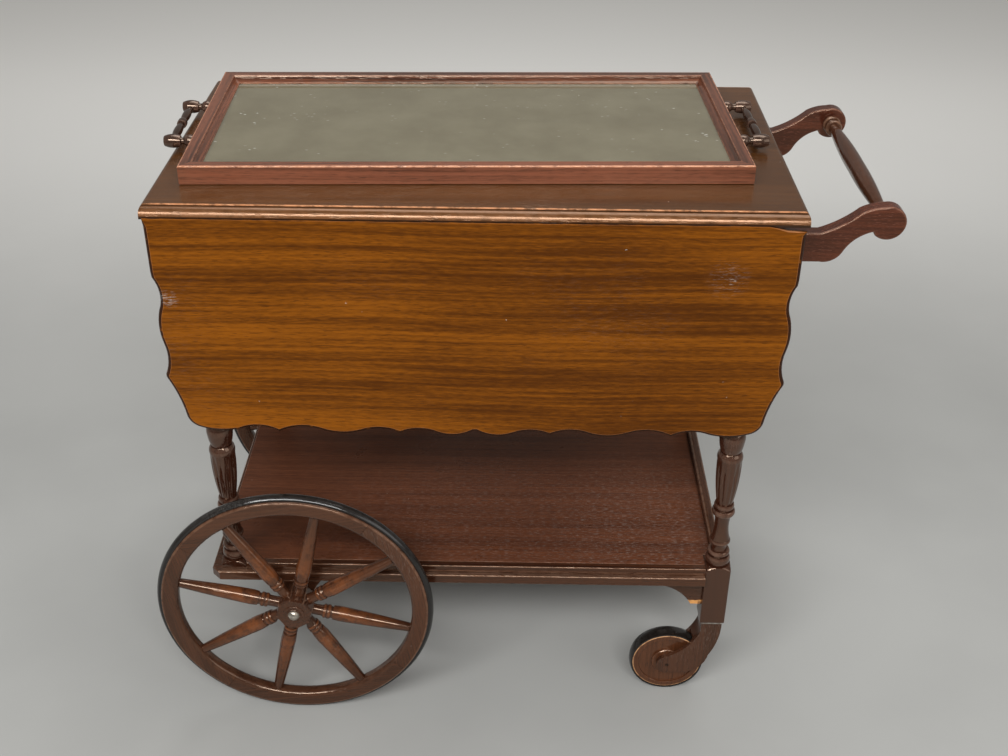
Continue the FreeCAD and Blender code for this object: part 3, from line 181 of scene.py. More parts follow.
def vectors(tree, operation, first, second):
    """The outcome of one sum on two vectors."""
    return add_node(tree, "ShaderNodeVectorMath", {0: first, 1: second}, operation=operation).outputs[0]


def noise(tree, vector, scale, detail=2.0, rough=0.5, output="Fac"):
    """Noise at a vector, with features 1 / scale wide and finer ones inside them."""
    sockets = {"Vector": vector, "Scale": scale, "Detail": detail, "Roughness": rough}
    return add_node(tree, "ShaderNodeTexNoise", sockets).outputs[output]


def bumped(tree, strength, distance, height):
    """A normal that leans as the slopes of a relief would make it."""
    sockets = {"Strength": strength, "Distance": distance, "Height": height}
    return add_node(tree, "ShaderNodeBump", sockets).outputs["Normal"]


def new_group(name, inputs, outputs):
    """An empty shader group with named sockets; gives the tree, its inputs and its outputs."""
    tree = bpy.data.node_groups.new(name, "ShaderNodeTree")
    for label, kind in inputs.items():
        tree.interface.new_socket(label, in_out="INPUT", socket_type=f"NodeSocket{kind}")
    for label, kind in outputs.items():
        tree.interface.new_socket(label, in_out="OUTPUT", socket_type=f"NodeSocket{kind}")
    return tree, tree.nodes.new("NodeGroupInput").outputs, tree.nodes.new("NodeGroupOutput").inputs


def use_group(tree, group, sockets):
    """Place a group, fill its inputs and give its outputs."""
    made = tree.nodes.new("ShaderNodeGroup")
    made.node_tree = group
    fill_all(tree, made.inputs, sockets)
    return made.outputs


# %% [markdown]
# ## Mahogany
# Mahogany shows broad ribbons where the grain interlocks, narrow bands inside them, fine fibres, and
# short dark pores. Each is the same noise pulled long along the fibres and kept fine across them. One
# group makes them all, and every wood on the trolley places it with its own colours and strengths.

# %% The mahogany group
DRIFT_SCALE = (1.8, 9, 9)
DRIFT_FAR = (0, 0.014, 0.014)
LAYERS = [
    # cloud, ribbon, line, fibre and pore: features to a metre along and across, detail, share in the tone
    (2.2, 4, 1, 1.3),
    (0.9, 32, 2, 1.5),
    (2.4, 300, 3, 1.7),
    (70, 900, 2, 0.7),
    (60, 1100, 1, 1.0),
]


def make_mahogany():
    """Tone = ribbon * (cloud + ribbons + lines) + fibre * fibres, mixed from dark to light, with pores."""
    tree, given, out = new_group(
        "mahogany", {"Vector": "Vector", "Light": "Color", "Dark": "Color", "Pore": "Color",
                     "Ribbon": "Float", "Fibre": "Float"}, {"Color": "Color", "Height": "Float"})
    drift = noise(tree, vectors(tree, "MULTIPLY", given["Vector"], DRIFT_SCALE), 1, output="Color")
    drift = vectors(tree, "SUBTRACT", drift, (0.5, 0.5, 0.5))
    plank = vectors(tree, "ADD", given["Vector"], vectors(tree, "MULTIPLY", drift, DRIFT_FAR))

    def layer(along, across, detail, share):
        """Noise about zero with its features 1 / along long and 1 / across wide, times a share."""
        pulled = vectors(tree, "MULTIPLY", plank, (along, across, across))
        return maths(tree, "MULTIPLY", maths(tree, "SUBTRACT", noise(tree, pulled, 1, detail), 0.5), share)

    cloud, ribbon, line, fibre, hole = (layer(*layout) for layout in LAYERS)
    pore = ramped(tree, hole, 0.1, 0.2)
    bands = maths(tree, "ADD", maths(tree, "ADD", cloud, ribbon), line)
    tone = maths(tree, "ADD", maths(tree, "MULTIPLY", bands, given["Ribbon"]),
                 maths(tree, "MULTIPLY", fibre, given["Fibre"]))
    tone = ramped(tree, tone, -0.6, 0.6)
    colour = mixed(tree, tone, given["Dark"], given["Light"])
    colour = mixed(tree, maths(tree, "MULTIPLY", pore, 0.5), colour, given["Pore"])
    tree.links.new(colour, out["Color"])
    tree.links.new(maths(tree, "SUBTRACT", maths(tree, "MULTIPLY", fibre, 0.5), pore), out["Height"])
    return tree


mahogany = make_mahogany()
print(mahogany.name, "nodes:", len(mahogany.nodes))

# %% [markdown]
# ## Age
# A trolley that has been used for decades is rubbed on its edges, hazy where things were set down and
# dotted with specks of dust. Rubbing follows the `edge` value where it is above zero, broken up by noise;
# on some pieces that colour is also a painted highlight, and on the leaf's rim it is painted shade. Where
# the value is below zero it draws a thin line of another colour: a painted shadow line along a moulding,
# and on the leaf a painted highlight line and the raw wood of its chip. Haze and specks are noise with a
# high threshold. Both groups only make colours and masks, so each wood, the rubber and the glass can share
# them.

# %% The rubbed edge and dust groups
def make_worn_and_painted_edge():
    """worn colour = edge * noise * amount where the edge is above zero, line = -edge where it is below;
    on some woods these colours are painted highlights, painted shade and painted shadow lines.
    """
    tree, given, out = new_group(
        "worn_and_painted_edge", {"Vector": "Vector", "Color": "Color", "Edge": "Float", "Worn And Painted Light": "Color",
                        "Line": "Color", "Amount": "Float"}, {"Color": "Color"})
    broken = ramped(tree, noise(tree, given["Vector"], 90, 4, 0.65), 0.3, 0.6)
    broken = maths(tree, "MULTIPLY", broken, given["Amount"])
    # worn is the mask of the worn colour, which on some woods paints highlights and on the leaf's rim paints
    # shade
    worn = maths(tree, "MULTIPLY", maths(tree, "MAXIMUM", given["Edge"], 0.0), broken)
    line = maths(tree, "MAXIMUM", maths(tree, "MULTIPLY", given["Edge"], -1.0), 0.0)
    colour = mixed(tree, worn, given["Color"], given["Worn And Painted Light"])
    tree.links.new(mixed(tree, line, colour, given["Line"]), out["Color"])
    return tree


def make_dust():
    """Specks = the hearts of scattered cells, haze = clouds or marks broken into streaks along the grain,
    dirt = the stronger of the two. One of the leaf's marks is a painted highlight."""
    tree, given, out = new_group(
        "dust", {"Vector": "Vector", "Specks": "Float", "Haze": "Float", "Marks And Glint": "Float"},
        {"Haze": "Float", "Dirt And Glint": "Float"})
    ragged = noise(tree, given["Vector"], 700, 2, output="Color")
    ragged = vectors(tree, "MULTIPLY", ragged, (0.003, 0.003, 0.003))
    cells = add_node(tree, "ShaderNodeTexVoronoi", {"Vector": vectors(tree, "ADD", given["Vector"], ragged),
                                                    "Scale": 70.0})
    rare = ramped(tree, noise(tree, given["Vector"], 11, 3), 0.6, 0.68)
    speck = ramped(tree, cells.outputs["Distance"], 0.03, 0.07, 1.0, 0.0)
    speck = maths(tree, "MULTIPLY", speck, rare)
    cloud = ramped(tree, noise(tree, given["Vector"], 5, 3), 0.5, 0.75)
    streak = noise(tree, vectors(tree, "MULTIPLY", given["Vector"], (130, 800, 800)), 1, 3, 0.7)
    where = maths(tree, "MAXIMUM", maths(tree, "MULTIPLY", cloud, given["Haze"]), given["Marks And Glint"])
    specks = maths(tree, "MULTIPLY", speck, given["Specks"])
    haze = maths(tree, "MULTIPLY", where, ramped(tree, streak, 0.5, 0.7))
    tree.links.new(haze, out["Haze"])
    tree.links.new(maths(tree, "MAXIMUM", specks, haze), out["Dirt And Glint"])
    return tree


worn_and_painted_edge = make_worn_and_painted_edge()
dust = make_dust()
print("groups of age:", worn_and_painted_edge.name, "and", dust.name)

# %% [markdown]
# ## The finishes
# A wood finish takes its colours, how strongly the ribbons and fibres show, how strongly its edge value
# mixes in the worn colour, which on some woods is painted light, and how polished it is. New pieces carry
# the `grain` and `edge` values. Solids that stay use their place in the frame instead, where the fibres run
# along X, and have no worn edges. Old varnish has yellowed, so what it mirrors is tinted as well.

# %% The wood recipe
DUST_AND_GLINT_COLOUR = (0.62, 0.6, 0.55)
VARNISH = (1.0, 0.74, 0.56)
WOOD_RELIEF, WOOD_BUMP = 0.4 * MM, 0.2
WOOD_SPECKS = 0.4
HAZE_DULLS = 0.3
RAW_RAGGED = 3 * MM
RAW_FADE = 0.6 * MM


def new_material(name):
    """A material with nodes, its tree and its shader."""
    material = bpy.data.materials.new(name)
    material.use_nodes = True
    tree = material.node_tree
    return material, tree, tree.nodes["Principled BSDF"]


def surface_values(tree, carried):
    """The grain vector and edge value of a new piece, or the place in the frame for a solid."""
    if carried:
        grain = add_node(tree, "ShaderNodeAttribute", attribute_name="grain").outputs["Vector"]
        edge = add_node(tree, "ShaderNodeAttribute", attribute_name="edge").outputs["Fac"]
        return grain, edge
    return add_node(tree, "ShaderNodeTexCoord").outputs["Object"], 0.0


def raw_tip(tree, raw_below):
    """An edge value of 1 below a height, where the stain has broken away, with a ragged border."""
    place = add_node(tree, "ShaderNodeTexCoord").outputs["Object"]
    ragged = vectors(tree, "MULTIPLY", noise(tree, place, 300, output="Color"), (0, 0, RAW_RAGGED))
    parts = add_node(tree, "ShaderNodeSeparateXYZ", {0: vectors(tree, "ADD", place, ragged)})
    return ramped(tree, parts.outputs["Z"], raw_below, raw_below + RAW_FADE, 1.0, 0.0)


def patches_and_glint(tree, grain, marks):
    """The strongest of some round patches, each fading from its strength to nothing at its radius."""
    marked = 0.0
    for place, radius, strength in marks:
        apart = add_node(tree, "ShaderNodeVectorMath", {0: grain, 1: place}, operation="DISTANCE")
        near = ramped(tree, apart.outputs["Value"], 0.2 * radius, radius, strength, 0.0)
        marked = maths(tree, "MAXIMUM", marked, near)
    return marked


def make_wood(name, colours, ribbon=0.7, fibre=0.8, wear_and_painted_light=0.45, haze=0.08, gloss=(0.08, 0.18), shine=0.7,
              carried=True, marks=(), raw_below=None, figure=(1, 1, 1), varnish=VARNISH):
    """A stained and polished wood. Marks are (place, radius, strength) of patches: scratches and one painted
    highlight on the leaf, haze on the shelf; raw_below is a height up to which the stain has broken away,
    and figure makes the grain shorter or finer."""
    material, tree, shader = new_material(name)
    grain, edge = surface_values(tree, carried)
    if raw_below is not None:
        edge = raw_tip(tree, raw_below)
    wood = use_group(tree, mahogany, {
        "Vector": vectors(tree, "MULTIPLY", grain, figure), "Ribbon": ribbon, "Fibre": fibre,
        "Light": colours["light"], "Dark": colours["dark"], "Pore": colours["pore"]})
    rubbed_and_painted_light = use_group(tree, worn_and_painted_edge, {
        "Vector": grain, "Color": wood["Color"], "Edge": edge, "Worn And Painted Light": colours["worn"],
        "Line": colours["line"], "Amount": wear_and_painted_light})
    dusty = use_group(tree, dust, {"Vector": grain, "Specks": WOOD_SPECKS, "Haze": haze,
                                   "Marks And Glint": patches_and_glint(tree, grain, marks)})
    polish = ramped(tree, noise(tree, grain, 12, 4, 0.6), 0.3, 0.7, *gloss)
    polish = maths(tree, "ADD", polish, maths(tree, "MULTIPLY", dusty["Haze"], HAZE_DULLS))
    fill_all(tree, shader.inputs, {
        "Base Color": mixed(tree, dusty["Dirt And Glint"], rubbed_and_painted_light["Color"], DUST_AND_GLINT_COLOUR), "Roughness": polish,
        "Normal": bumped(tree, WOOD_BUMP, WOOD_RELIEF, wood["Height"]),
        "Specular Tint": varnish, "Specular IOR Level": shine})
    return material


# %% [markdown]
# ## Stains and woods
# One kind of wood was stained differently from piece to piece: nearly black on the grips, dark brown on
# the frame, red on the tray and honey on the leaves. A stain holds the colours of the grain from light to
# dark, of the pores, of worn edges and of thin lines. Some of these are painted light: on the leaf the worn
# colour is painted shade on the rim and the line colour a painted highlight along it, as well as the raw
# wood of its chip; the worn colour is partly a painted highlight on the arrises of the tray, top, hub and
# rims, the rings of the legs and the bellies of the spokes; the default line colour is a painted shadow
# line, which shows on the top. The table gives each wood its stain and what else sets it apart.

# %% Stains and woods
COPPER_VARNISH = (1.0, 0.62, 0.4)
RAW_TIP = 8 * MM
SHADOW_LINE = (0.008, 0.003, 0.002)
LEAF_SCRATCHES_AND_GLINT = [
    # place in the grain, radius, strength
    ((-0.236, -0.208, 0.433), 0.03, 0.12),
    ((-0.241, -0.208, 0.429), 0.007, 0.6),
    # this pale patch at the left cusp is a painted highlight; the two above are scratches
    ((0.366, -0.208, 0.4), 0.014, 0.4),
]
SHELF_MARKS = [((0.19, -0.12, 0.2), 0.24, 0.17), ((-0.02, -0.14, 0.2), 0.3, 0.1)]


def stain(light, dark, pore, worn, line=SHADOW_LINE):
    """The colours of one stained wood. On some woods the worn and line colours are also painted highlights
    and painted shade.
    """
    return {"light": light, "dark": dark, "pore": pore, "worn": worn, "line": line}


DARK_STAIN = stain((0.063, 0.022, 0.01), (0.024, 0.008, 0.004), (0.01, 0.0035, 0.002), (0.26, 0.14, 0.085))
LEG_STAIN_AND_RING_HIGHLIGHT = {**DARK_STAIN, "light": (0.042, 0.0125, 0.006), "dark": (0.018, 0.0052, 0.0025),
             "worn": (0.3, 0.17, 0.12)}
WARM_STAIN_AND_BELLY_HIGHLIGHT = {**DARK_STAIN, "worn": (0.24, 0.072, 0.02)}
RAW_STAIN = {**DARK_STAIN, "worn": (0.62, 0.29, 0.09)}
CASTER_STAIN = {**DARK_STAIN, "light": (0.11, 0.038, 0.015), "dark": (0.042, 0.014, 0.006),
                "worn": (0.48, 0.26, 0.13)}
SHELF_STAIN = stain((0.13, 0.043, 0.019), (0.053, 0.017, 0.0085), (0.02, 0.007, 0.004), (0.3, 0.16, 0.1))
ARM_STAIN = stain((0.1, 0.026, 0.012), (0.034, 0.009, 0.005), (0.14, 0.052, 0.034), (0.26, 0.13, 0.085))
GRIP_STAIN = stain((0.035, 0.017, 0.012), (0.012, 0.006, 0.004), (0.008, 0.004, 0.003), (0.2, 0.11, 0.08))
# the top's worn colour on its arris and quarter round is partly a painted highlight; its line is a painted
# shadow
TOP_STAIN_AND_PAINTED_LINES = stain((0.084, 0.032, 0.009), (0.038, 0.014, 0.004), (0.02, 0.008, 0.003), (0.5, 0.21, 0.09))
# the leaf's worn colour is the painted shade of its rim; its line colour is a painted highlight and raw wood
LEAF_STAIN_AND_PAINTED_RIM = stain((0.215, 0.064, 0.003), (0.06, 0.016, 0.001), (0.04, 0.011, 0.001),
                   (0.025, 0.008, 0.003), (0.36, 0.15, 0.06))
TRAY_STAIN_AND_ARRIS_HIGHLIGHT = stain((0.17, 0.056, 0.029), (0.02, 0.0065, 0.004), (0.025, 0.008, 0.005), (0.5, 0.22, 0.12))
WOODS = {
    "leaf_mahogany": {"colours": LEAF_STAIN_AND_PAINTED_RIM, "ribbon": 0.85, "fibre": 1.2, "wear_and_painted_light": 4.0, "haze": 0.03,
                      "figure": (1.2, 0.75, 0.75), "gloss": (0.3, 0.42), "shine": 0.15,
                      "marks": LEAF_SCRATCHES_AND_GLINT},
    "dark_mahogany": {"colours": DARK_STAIN},
    "leg_mahogany": {"colours": LEG_STAIN_AND_RING_HIGHLIGHT, "ribbon": 0.45, "wear_and_painted_light": 0.5, "shine": 1.0, "gloss": (0.04, 0.09)},
    "warm_mahogany": {"colours": WARM_STAIN_AND_BELLY_HIGHLIGHT, "wear_and_painted_light": 0.5},
    "raw_mahogany": {"colours": RAW_STAIN, "wear_and_painted_light": 2.0,
                     "raw_below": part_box("bracket_front")[0].z + RAW_TIP},
    "caster_mahogany": {"colours": CASTER_STAIN, "wear_and_painted_light": 1.5},
    "arm_mahogany": {"colours": ARM_STAIN, "fibre": 1.2, "shine": 0.5, "figure": (2.5, 1, 1)},
    "grip_mahogany": {"colours": GRIP_STAIN, "gloss": (0.07, 0.14), "shine": 0.9},
    "shelf_mahogany": {"colours": SHELF_STAIN, "ribbon": 0.6, "fibre": 1.4, "gloss": (0.26, 0.4),
                       "shine": 0.2, "marks": SHELF_MARKS},
    "tray_mahogany": {"colours": TRAY_STAIN_AND_ARRIS_HIGHLIGHT, "ribbon": 1.0, "fibre": 0.9, "wear_and_painted_light": 0.8, "haze": 0.0,
                      "shine": 0.9},
    "top_mahogany": {"colours": TOP_STAIN_AND_PAINTED_LINES, "wear_and_painted_light": 0.8, "gloss": (0.16, 0.26), "shine": 0.8,
                     "varnish": COPPER_VARNISH},
}
finishes = {wood_name: make_wood(wood_name, **recipe) for wood_name, recipe in WOODS.items()}
hidden_wood = make_wood("dark_mahogany_board", DARK_STAIN, carried=False)
print("woods:", ", ".join(finishes))

# %% [markdown]
# ## Rubber, metal and glass
# The tyres are old black rubber, scuffed grey. The hub caps are nickel, the hinges brass and the pins
# and pivots steel. The tray's floor is a grey-green board under a clear pane with a little dust on it.
# Each is noise at the scale of its own wear, mixed into colour, roughness and relief.

# %% Other finishes
RUBBER_BLACK, RUBBER_SCUFFED = (0.008, 0.006, 0.005), (0.06, 0.055, 0.05)
BOARD_DARK, BOARD_LIGHT = (0.138, 0.114, 0.066), (0.18, 0.154, 0.096)
PANE_TINT = (0.86, 0.9, 0.87)
PANE_CLEAR = 0.9
RUBBER_RELIEF, RUBBER_BUMP = 0.5 * MM, 0.12
METAL_RELIEF, METAL_BUMP = 0.2 * MM, 0.15


def make_rubber(name):
    """Black rubber with grey scuffs where it rolls."""
    material, tree, shader = new_material(name)
    grain, edge = surface_values(tree, True)
    dusty = use_group(tree, dust, {"Vector": grain, "Specks": 1.0, "Haze": 0.12})
    scuffed = use_group(tree, worn_and_painted_edge, {"Vector": grain, "Color": RUBBER_BLACK, "Edge": edge,
                                            "Worn And Painted Light": RUBBER_SCUFFED, "Amount": 0.3})
    fill_all(tree, shader.inputs, {
        "Base Color": mixed(tree, dusty["Dirt And Glint"], scuffed["Color"], DUST_AND_GLINT_COLOUR),
        "Roughness": ramped(tree, noise(tree, grain, 120, 3), 0.3, 0.7, 0.08, 0.24),
        "Normal": bumped(tree, RUBBER_BUMP, RUBBER_RELIEF, noise(tree, grain, 260, 4))})
    return material


def make_metal(name, clean, tarnished, smooth, dull, carried=False):
    """A metal between a clean and a tarnished colour."""
    material, tree, shader = new_material(name)
    place, _ = surface_values(tree, carried)
    patches = ramped(tree, noise(tree, place, 160, 5, 0.65), 0.36, 0.66)
    fill_all(tree, shader.inputs, {
        "Base Color": mixed(tree, patches, clean, tarnished), "Metallic": 1.0,
        "Roughness": ramped(tree, patches, 0.0, 1.0, smooth, dull),
        "Normal": bumped(tree, METAL_BUMP, METAL_RELIEF, patches)})
    return material


def make_tray_board():
    """The grey-green board that lies under the glass, with dust and fine scratches."""
    material, tree, shader = new_material("tray_board")
    place, _ = surface_values(tree, False)
    mottle = noise(tree, place, 14, 5, 0.6)
    weave = noise(tree, place, 900, 2)
    shade = maths(tree, "ADD", mottle, maths(tree, "MULTIPLY", weave, 0.3))
    colour = mixed(tree, ramped(tree, shade, 0.4, 0.9), BOARD_DARK, BOARD_LIGHT)
    low, high = (np.array(corner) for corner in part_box("tray_base"))
    centred = vectors(tree, "SUBTRACT", place, ((low + high) / 2).tolist())
    share = vectors(tree, "DIVIDE", centred, ((high - low) / 2).tolist())
    share = vectors(tree, "ABSOLUTE", share, (0, 0, 0))
    shares = add_node(tree, "ShaderNodeSeparateXYZ", {0: share}).outputs
    border = ramped(tree, maths(tree, "MAXIMUM", shares["X"], shares["Y"]), 0.66, 0.86, 0.35, 1.0)
    dashes = add_node(tree, "ShaderNodeTexVoronoi", {"Vector": vectors(tree, "MULTIPLY", place, (70, 170, 1)),
                                                     "Scale": 1.0, "Randomness": 1.0})
    rare = ramped(tree, noise(tree, place, 26, 3), 0.54, 0.6)
    marks = maths(tree, "MULTIPLY", ramped(tree, dashes.outputs["Distance"], 0.08, 0.16, 1.0, 0.0), rare)
    marks = maths(tree, "MULTIPLY", marks, border)
    fill_all(tree, shader.inputs, {"Base Color": mixed(tree, marks, colour, DUST_AND_GLINT_COLOUR),
                                   "Roughness": ramped(tree, weave, 0.3, 0.7, 0.6, 0.8)})
    return material


def make_pane():
    """A clear pane, a little dusty, that lets the lamps' light straight through to the board below."""
    material, tree, shader = new_material("tray_pane")
    place, _ = surface_values(tree, False)
    dirt = use_group(tree, dust, {"Vector": place, "Specks": 1.0, "Haze": 0.4})["Dirt And Glint"]
    path = add_node(tree, "ShaderNodeLightPath").outputs
    let_through = maths(tree, "MAXIMUM", path["Is Shadow Ray"], path["Is Diffuse Ray"])
    let_through = maths(tree, "MULTIPLY", let_through, PANE_CLEAR)
    fill_all(tree, shader.inputs, {
        "Base Color": mixed(tree, dirt, PANE_TINT, DUST_AND_GLINT_COLOUR),
        "Roughness": ramped(tree, dirt, 0.0, 1.0, 0.03, 0.7), "Transmission Weight": 1.0, "IOR": 1.5,
        "Alpha": maths(tree, "SUBTRACT", 1.0, let_through)})
    return material


finishes["tyre_rubber"] = make_rubber("tyre_rubber")
finishes["cap_nickel"] = make_metal("cap_nickel", (0.62, 0.57, 0.5), (0.3, 0.26, 0.21), 0.14, 0.4, True)
finishes["hinge_brass"] = make_metal("hinge_brass", (0.52, 0.36, 0.13), (0.16, 0.1, 0.045), 0.3, 0.6)
finishes["bare_steel"] = make_metal("bare_steel", (0.5, 0.48, 0.45), (0.2, 0.17, 0.14), 0.3, 0.6)
stained_steel = make_metal("stained_steel", (0.09, 0.055, 0.04), (0.04, 0.022, 0.015), 0.35, 0.6)
finishes["tray_board"] = make_tray_board()
finishes["tray_pane"] = make_pane()
print("all finishes:", ", ".join(finishes))

# %% [markdown]
# ## Solids that stay
# The hinges, props, pins, sockets and axles and the tray's board and pane are right as the frame has
# them: they only need a finish in place of the plain one. The points of a solid are never touched.

# %% Finishes on the frame's own solids
STAYING = [
    (finishes["hinge_brass"], ["hinge_fixed_plates", "leaf_hinge_plates_front", "leaf_hinge_plates_back"]),
    (finishes["bare_steel"], ["hinge_pins", "caster_sockets", "wheel_axle"]),
    (finishes["tray_board"], ["tray_base"]),
    (finishes["tray_pane"], ["tray_glass"]),
    (hidden_wood, ["prop_rod_front", "prop_rod_back", "prop_arms_front", "prop_arms_back"]),
    (stained_steel, ["caster_axle_front", "caster_axle_back"]),
]
for solid_finish, node_names in STAYING:
    for node_name in node_names:
        solid_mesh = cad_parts[node_name].data
        solid_mesh.materials.clear()
        solid_mesh.materials.append(solid_finish)
print("solids dressed:", sum(len(node_names) for _, node_names in STAYING))

# %% [markdown]
# ## Reading an outline off a solid
# Boards with a shaped edge, such as the leaves, the handle's arms and the brackets, keep the exact
# outline of their solid. The triangles that lie in its flat face are picked by their normal. An edge
# that only one of them uses is on the rim, so the rim edges chained end to end are the outline. The
# chain is followed by doubling: once the first n points are known, a jump of n gives the next n.

# %% Outlines
def node_arrays(node):
    """The points and triangles of a solid's mesh, with equal points merged."""
    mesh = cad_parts[node].data
    points = np.empty(len(mesh.vertices) * 3)
    mesh.vertices.foreach_get("co", points)
    mesh.calc_loop_triangles()
    corners = np.empty(len(mesh.loop_triangles) * 3, int)
    mesh.loop_triangles.foreach_get("vertices", corners)
    spots, index = np.unique(points.reshape(-1, 3).round(6), axis=0, return_inverse=True)
    return spots, index.reshape(-1)[corners].reshape(-1, 3)


def chain(following, start):
    """The points met from start by going on to the following point until start comes again."""
    order = np.array([start])
    jump = following
    while not (order[1:] == start).any():
        order = np.concatenate([order, jump[order]])
        jump = jump[jump]
    return order[:np.flatnonzero(order[1:] == start)[0] + 1]


def outlines(node, axis, face=1):
    """The outer loops of the flat face that looks along an axis, anticlockwise about that axis."""
    spots, triangles = node_arrays(node)
    a, b, c = np.moveaxis(spots[triangles], 1, 0)
    normal = np.cross(b - a, c - a)
    normal /= np.maximum(np.linalg.norm(normal, axis=1, keepdims=True), 1e-20)
    level = (face * spots[:, axis]).max()
    flat = (face * normal[:, axis] > 0.999) & (abs(face * a[:, axis] - level) < 0.02 * MM)
    ways = triangles[flat][:, [[0, 1], [1, 2], [2, 0]]].reshape(-1, 2)
    rim = ways[~np.isin(ways @ [len(spots), 1], ways @ [1, len(spots)])]
    following = np.arange(len(spots))
    following[rim[:, 0]] = rim[:, 1]
    waiting = np.zeros(len(spots), bool)
    waiting[rim[:, 0]] = True
    loops = []
    while waiting.any():
        order = chain(following, np.flatnonzero(waiting)[0])
        waiting[order] = False
        loop = spots[order][:, [(axis + 1) % 3, (axis + 2) % 3]]
        u, v = loop.T
        area = (u * np.roll(v, -1) - np.roll(u, -1) * v).sum() / 2
        if face * area > 0:
            loops.append(loop[::face])
    return loops


# %% [markdown]
# ## Boards with eased edges
# A sharp arris never survives sandpaper, so a board's edge is a quarter round. The outline is set in by
# r (1 - sin a) while its height falls by r (1 - cos a), for a from 0 to 90 degrees: a profile carried
# along a path. A Bevel modifier could round the solid too, but carrying the profile gives clean rows to
# hang the `edge` value on.

# %% Eased boards
EASE_STEPS = 5
MITRE_LIMIT = 0.35
PLANK_STEP = 0.173


def set_in(loop):
    """For each point of an anticlockwise loop, the way that moves both its edges in by one unit."""
    way = np.roll(loop, -1, axis=0) - loop
    normal = np.stack([way[:, 1], -way[:, 0]], axis=1) / np.linalg.norm(way, axis=1, keepdims=True)
    before = np.roll(normal, 1, axis=0)
    lean = 1 + (normal * before).sum(axis=1, keepdims=True)
    return -(normal + before) / np.maximum(lean, MITRE_LIMIT)


def eased_board(loop, axis, low, high, ease_low, ease_high, fibres=0, seed=0.0):
    """A board between two levels of an axis: rings of the outline, set in towards both faces."""
    turn = np.linspace(0, np.pi / 2, EASE_STEPS + 1)
    inset = np.concatenate([ease_low * (1 - np.sin(turn)), ease_high * (1 - np.cos(turn))])
    level = np.concatenate([low + ease_low * (1 - np.cos(turn)), high - ease_high * (1 - np.sin(turn))])
    rubbed_and_painted_light = np.concatenate([np.sin(2 * turn), np.sin(2 * turn)])
    flat = loop + inset[:, None, None] * set_in(loop)
    points = np.empty(flat.shape[:2] + (3,))
    points[..., axis] = level[:, None]
    points[..., (axis + 1) % 3] = flat[..., 0]
    points[..., (axis + 2) % 3] = flat[..., 1]
    grain = np.roll(points, -fibres, axis=-1) + seed
    return capped_tube(points, grain, rubbed_and_painted_light[:, None])


def ease_node(node, finish, axis, ease_low, ease_high, fibres):
    """Replace a solid of the frame's body by boards with eased edges, each kind cut from its own plank."""
    low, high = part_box(node)
    seed = 0.0 if finish == "shelf_mahogany" else len(node) * PLANK_STEP
    shells = [eased_board(loop, axis, low[axis], high[axis], ease_low * MM, ease_high * MM, fibres, seed)
              for loop in outlines(node, axis)]
    return make_piece(f"{node}_eased", shells, "frame", "dark_mahogany", [node], finish=finish)


# %% [markdown]
# ## Shelf, aprons, brackets and arms
# These boards are flat on both faces and only sawn to shape, so one table is enough: which way each is
# thick, how round its two faces are at the edge and which way its fibres run. The aprons and bearers
# hide under the boards above them. The tip of the front bracket has lost its stain.

# %% Shelf, aprons, brackets, bearers and arms
ALONG_X, ALONG_Y, ALONG_Z = 0, 1, 2
EASED = [
    # node, finish, way of its thickness, round at its low and at its high face, way of its fibres
    ("shelf_base", "dark_mahogany", ALONG_Z, 1.5, 2.0, ALONG_X),
    ("shelf_panel", "shelf_mahogany", ALONG_Z, 0.4, 0.8, ALONG_X),
    ("shelf_lips", "dark_mahogany", ALONG_Z, 0.4, 1.4, ALONG_X),
    ("shelf_end_rail", "dark_mahogany", ALONG_Z, 1.5, 3.5, ALONG_Y),
    ("apron_front", "dark_mahogany", ALONG_Y, 1.0, 1.0, ALONG_X),
    ("apron_back", "dark_mahogany", ALONG_Y, 1.0, 1.0, ALONG_X),
    ("apron_left", "dark_mahogany", ALONG_X, 1.0, 1.0, ALONG_Y),
    ("apron_right", "dark_mahogany", ALONG_X, 1.0, 1.0, ALONG_Y),
    ("bracket_front", "raw_mahogany", ALONG_Y, 1.0, 1.0, ALONG_X),
    ("bracket_back", "dark_mahogany", ALONG_Y, 1.0, 1.0, ALONG_X),
    ("axle_bearer_front", "dark_mahogany", ALONG_Y, 1.5, 1.5, ALONG_X),
    ("axle_bearer_back", "dark_mahogany", ALONG_Y, 1.5, 1.5, ALONG_X),
    ("handle_arm_front", "arm_mahogany", ALONG_Y, 2.2, 2.2, ALONG_X),
    ("handle_arm_back", "arm_mahogany", ALONG_Y, 2.2, 2.2, ALONG_X),
]
for eased in EASED:
    ease_node(*eased)
print("eased boards:", len(EASED))

# %% [markdown]
# ## The top
# The top has the other half of the rule joint along both long edges: a small step and a quarter round
# that the leaf's hollow rides over. One section, with an arc leading to each of its corners, is carried
# along X. At the ends its height is cut down to a quarter round of radius r, r - sqrt(r^2 - (r - d)^2) at
# a distance d from the end, so the end grain is rounded over as well. Its edge values paint a dark shadow
# line at the foot of the quarter round and at the step, and a light line on the arris and low on the
# round that is worn wood and a painted highlight.

# %% Sections with arcs, and the top
FLAT = 1e-5
ARC_SAMPLES = 5


def arcs(starts, stops, rises, count):
    """Points along one arc per row, at even angles, standing out to the right of the way by the rise."""
    chord = stops - starts
    length = np.linalg.norm(chord, axis=1)
    height = np.maximum(abs(rises), FLAT * length)
    radius = length ** 2 / (8 * height) + height / 2
    angle = np.linspace(-1, 1, count) * np.arcsin(length / (2 * radius))[:, None]
    along = 0.5 + radius[:, None] * np.sin(angle) / length[:, None]
    out = np.sign(rises)[:, None] * (radius[:, None] * np.cos(angle) - (radius - height)[:, None])
    side = np.stack([chord[:, 1], -chord[:, 0]], axis=1) / length[:, None]
    return starts[:, None] + along[..., None] * chord[:, None] + out[..., None] * side[:, None]


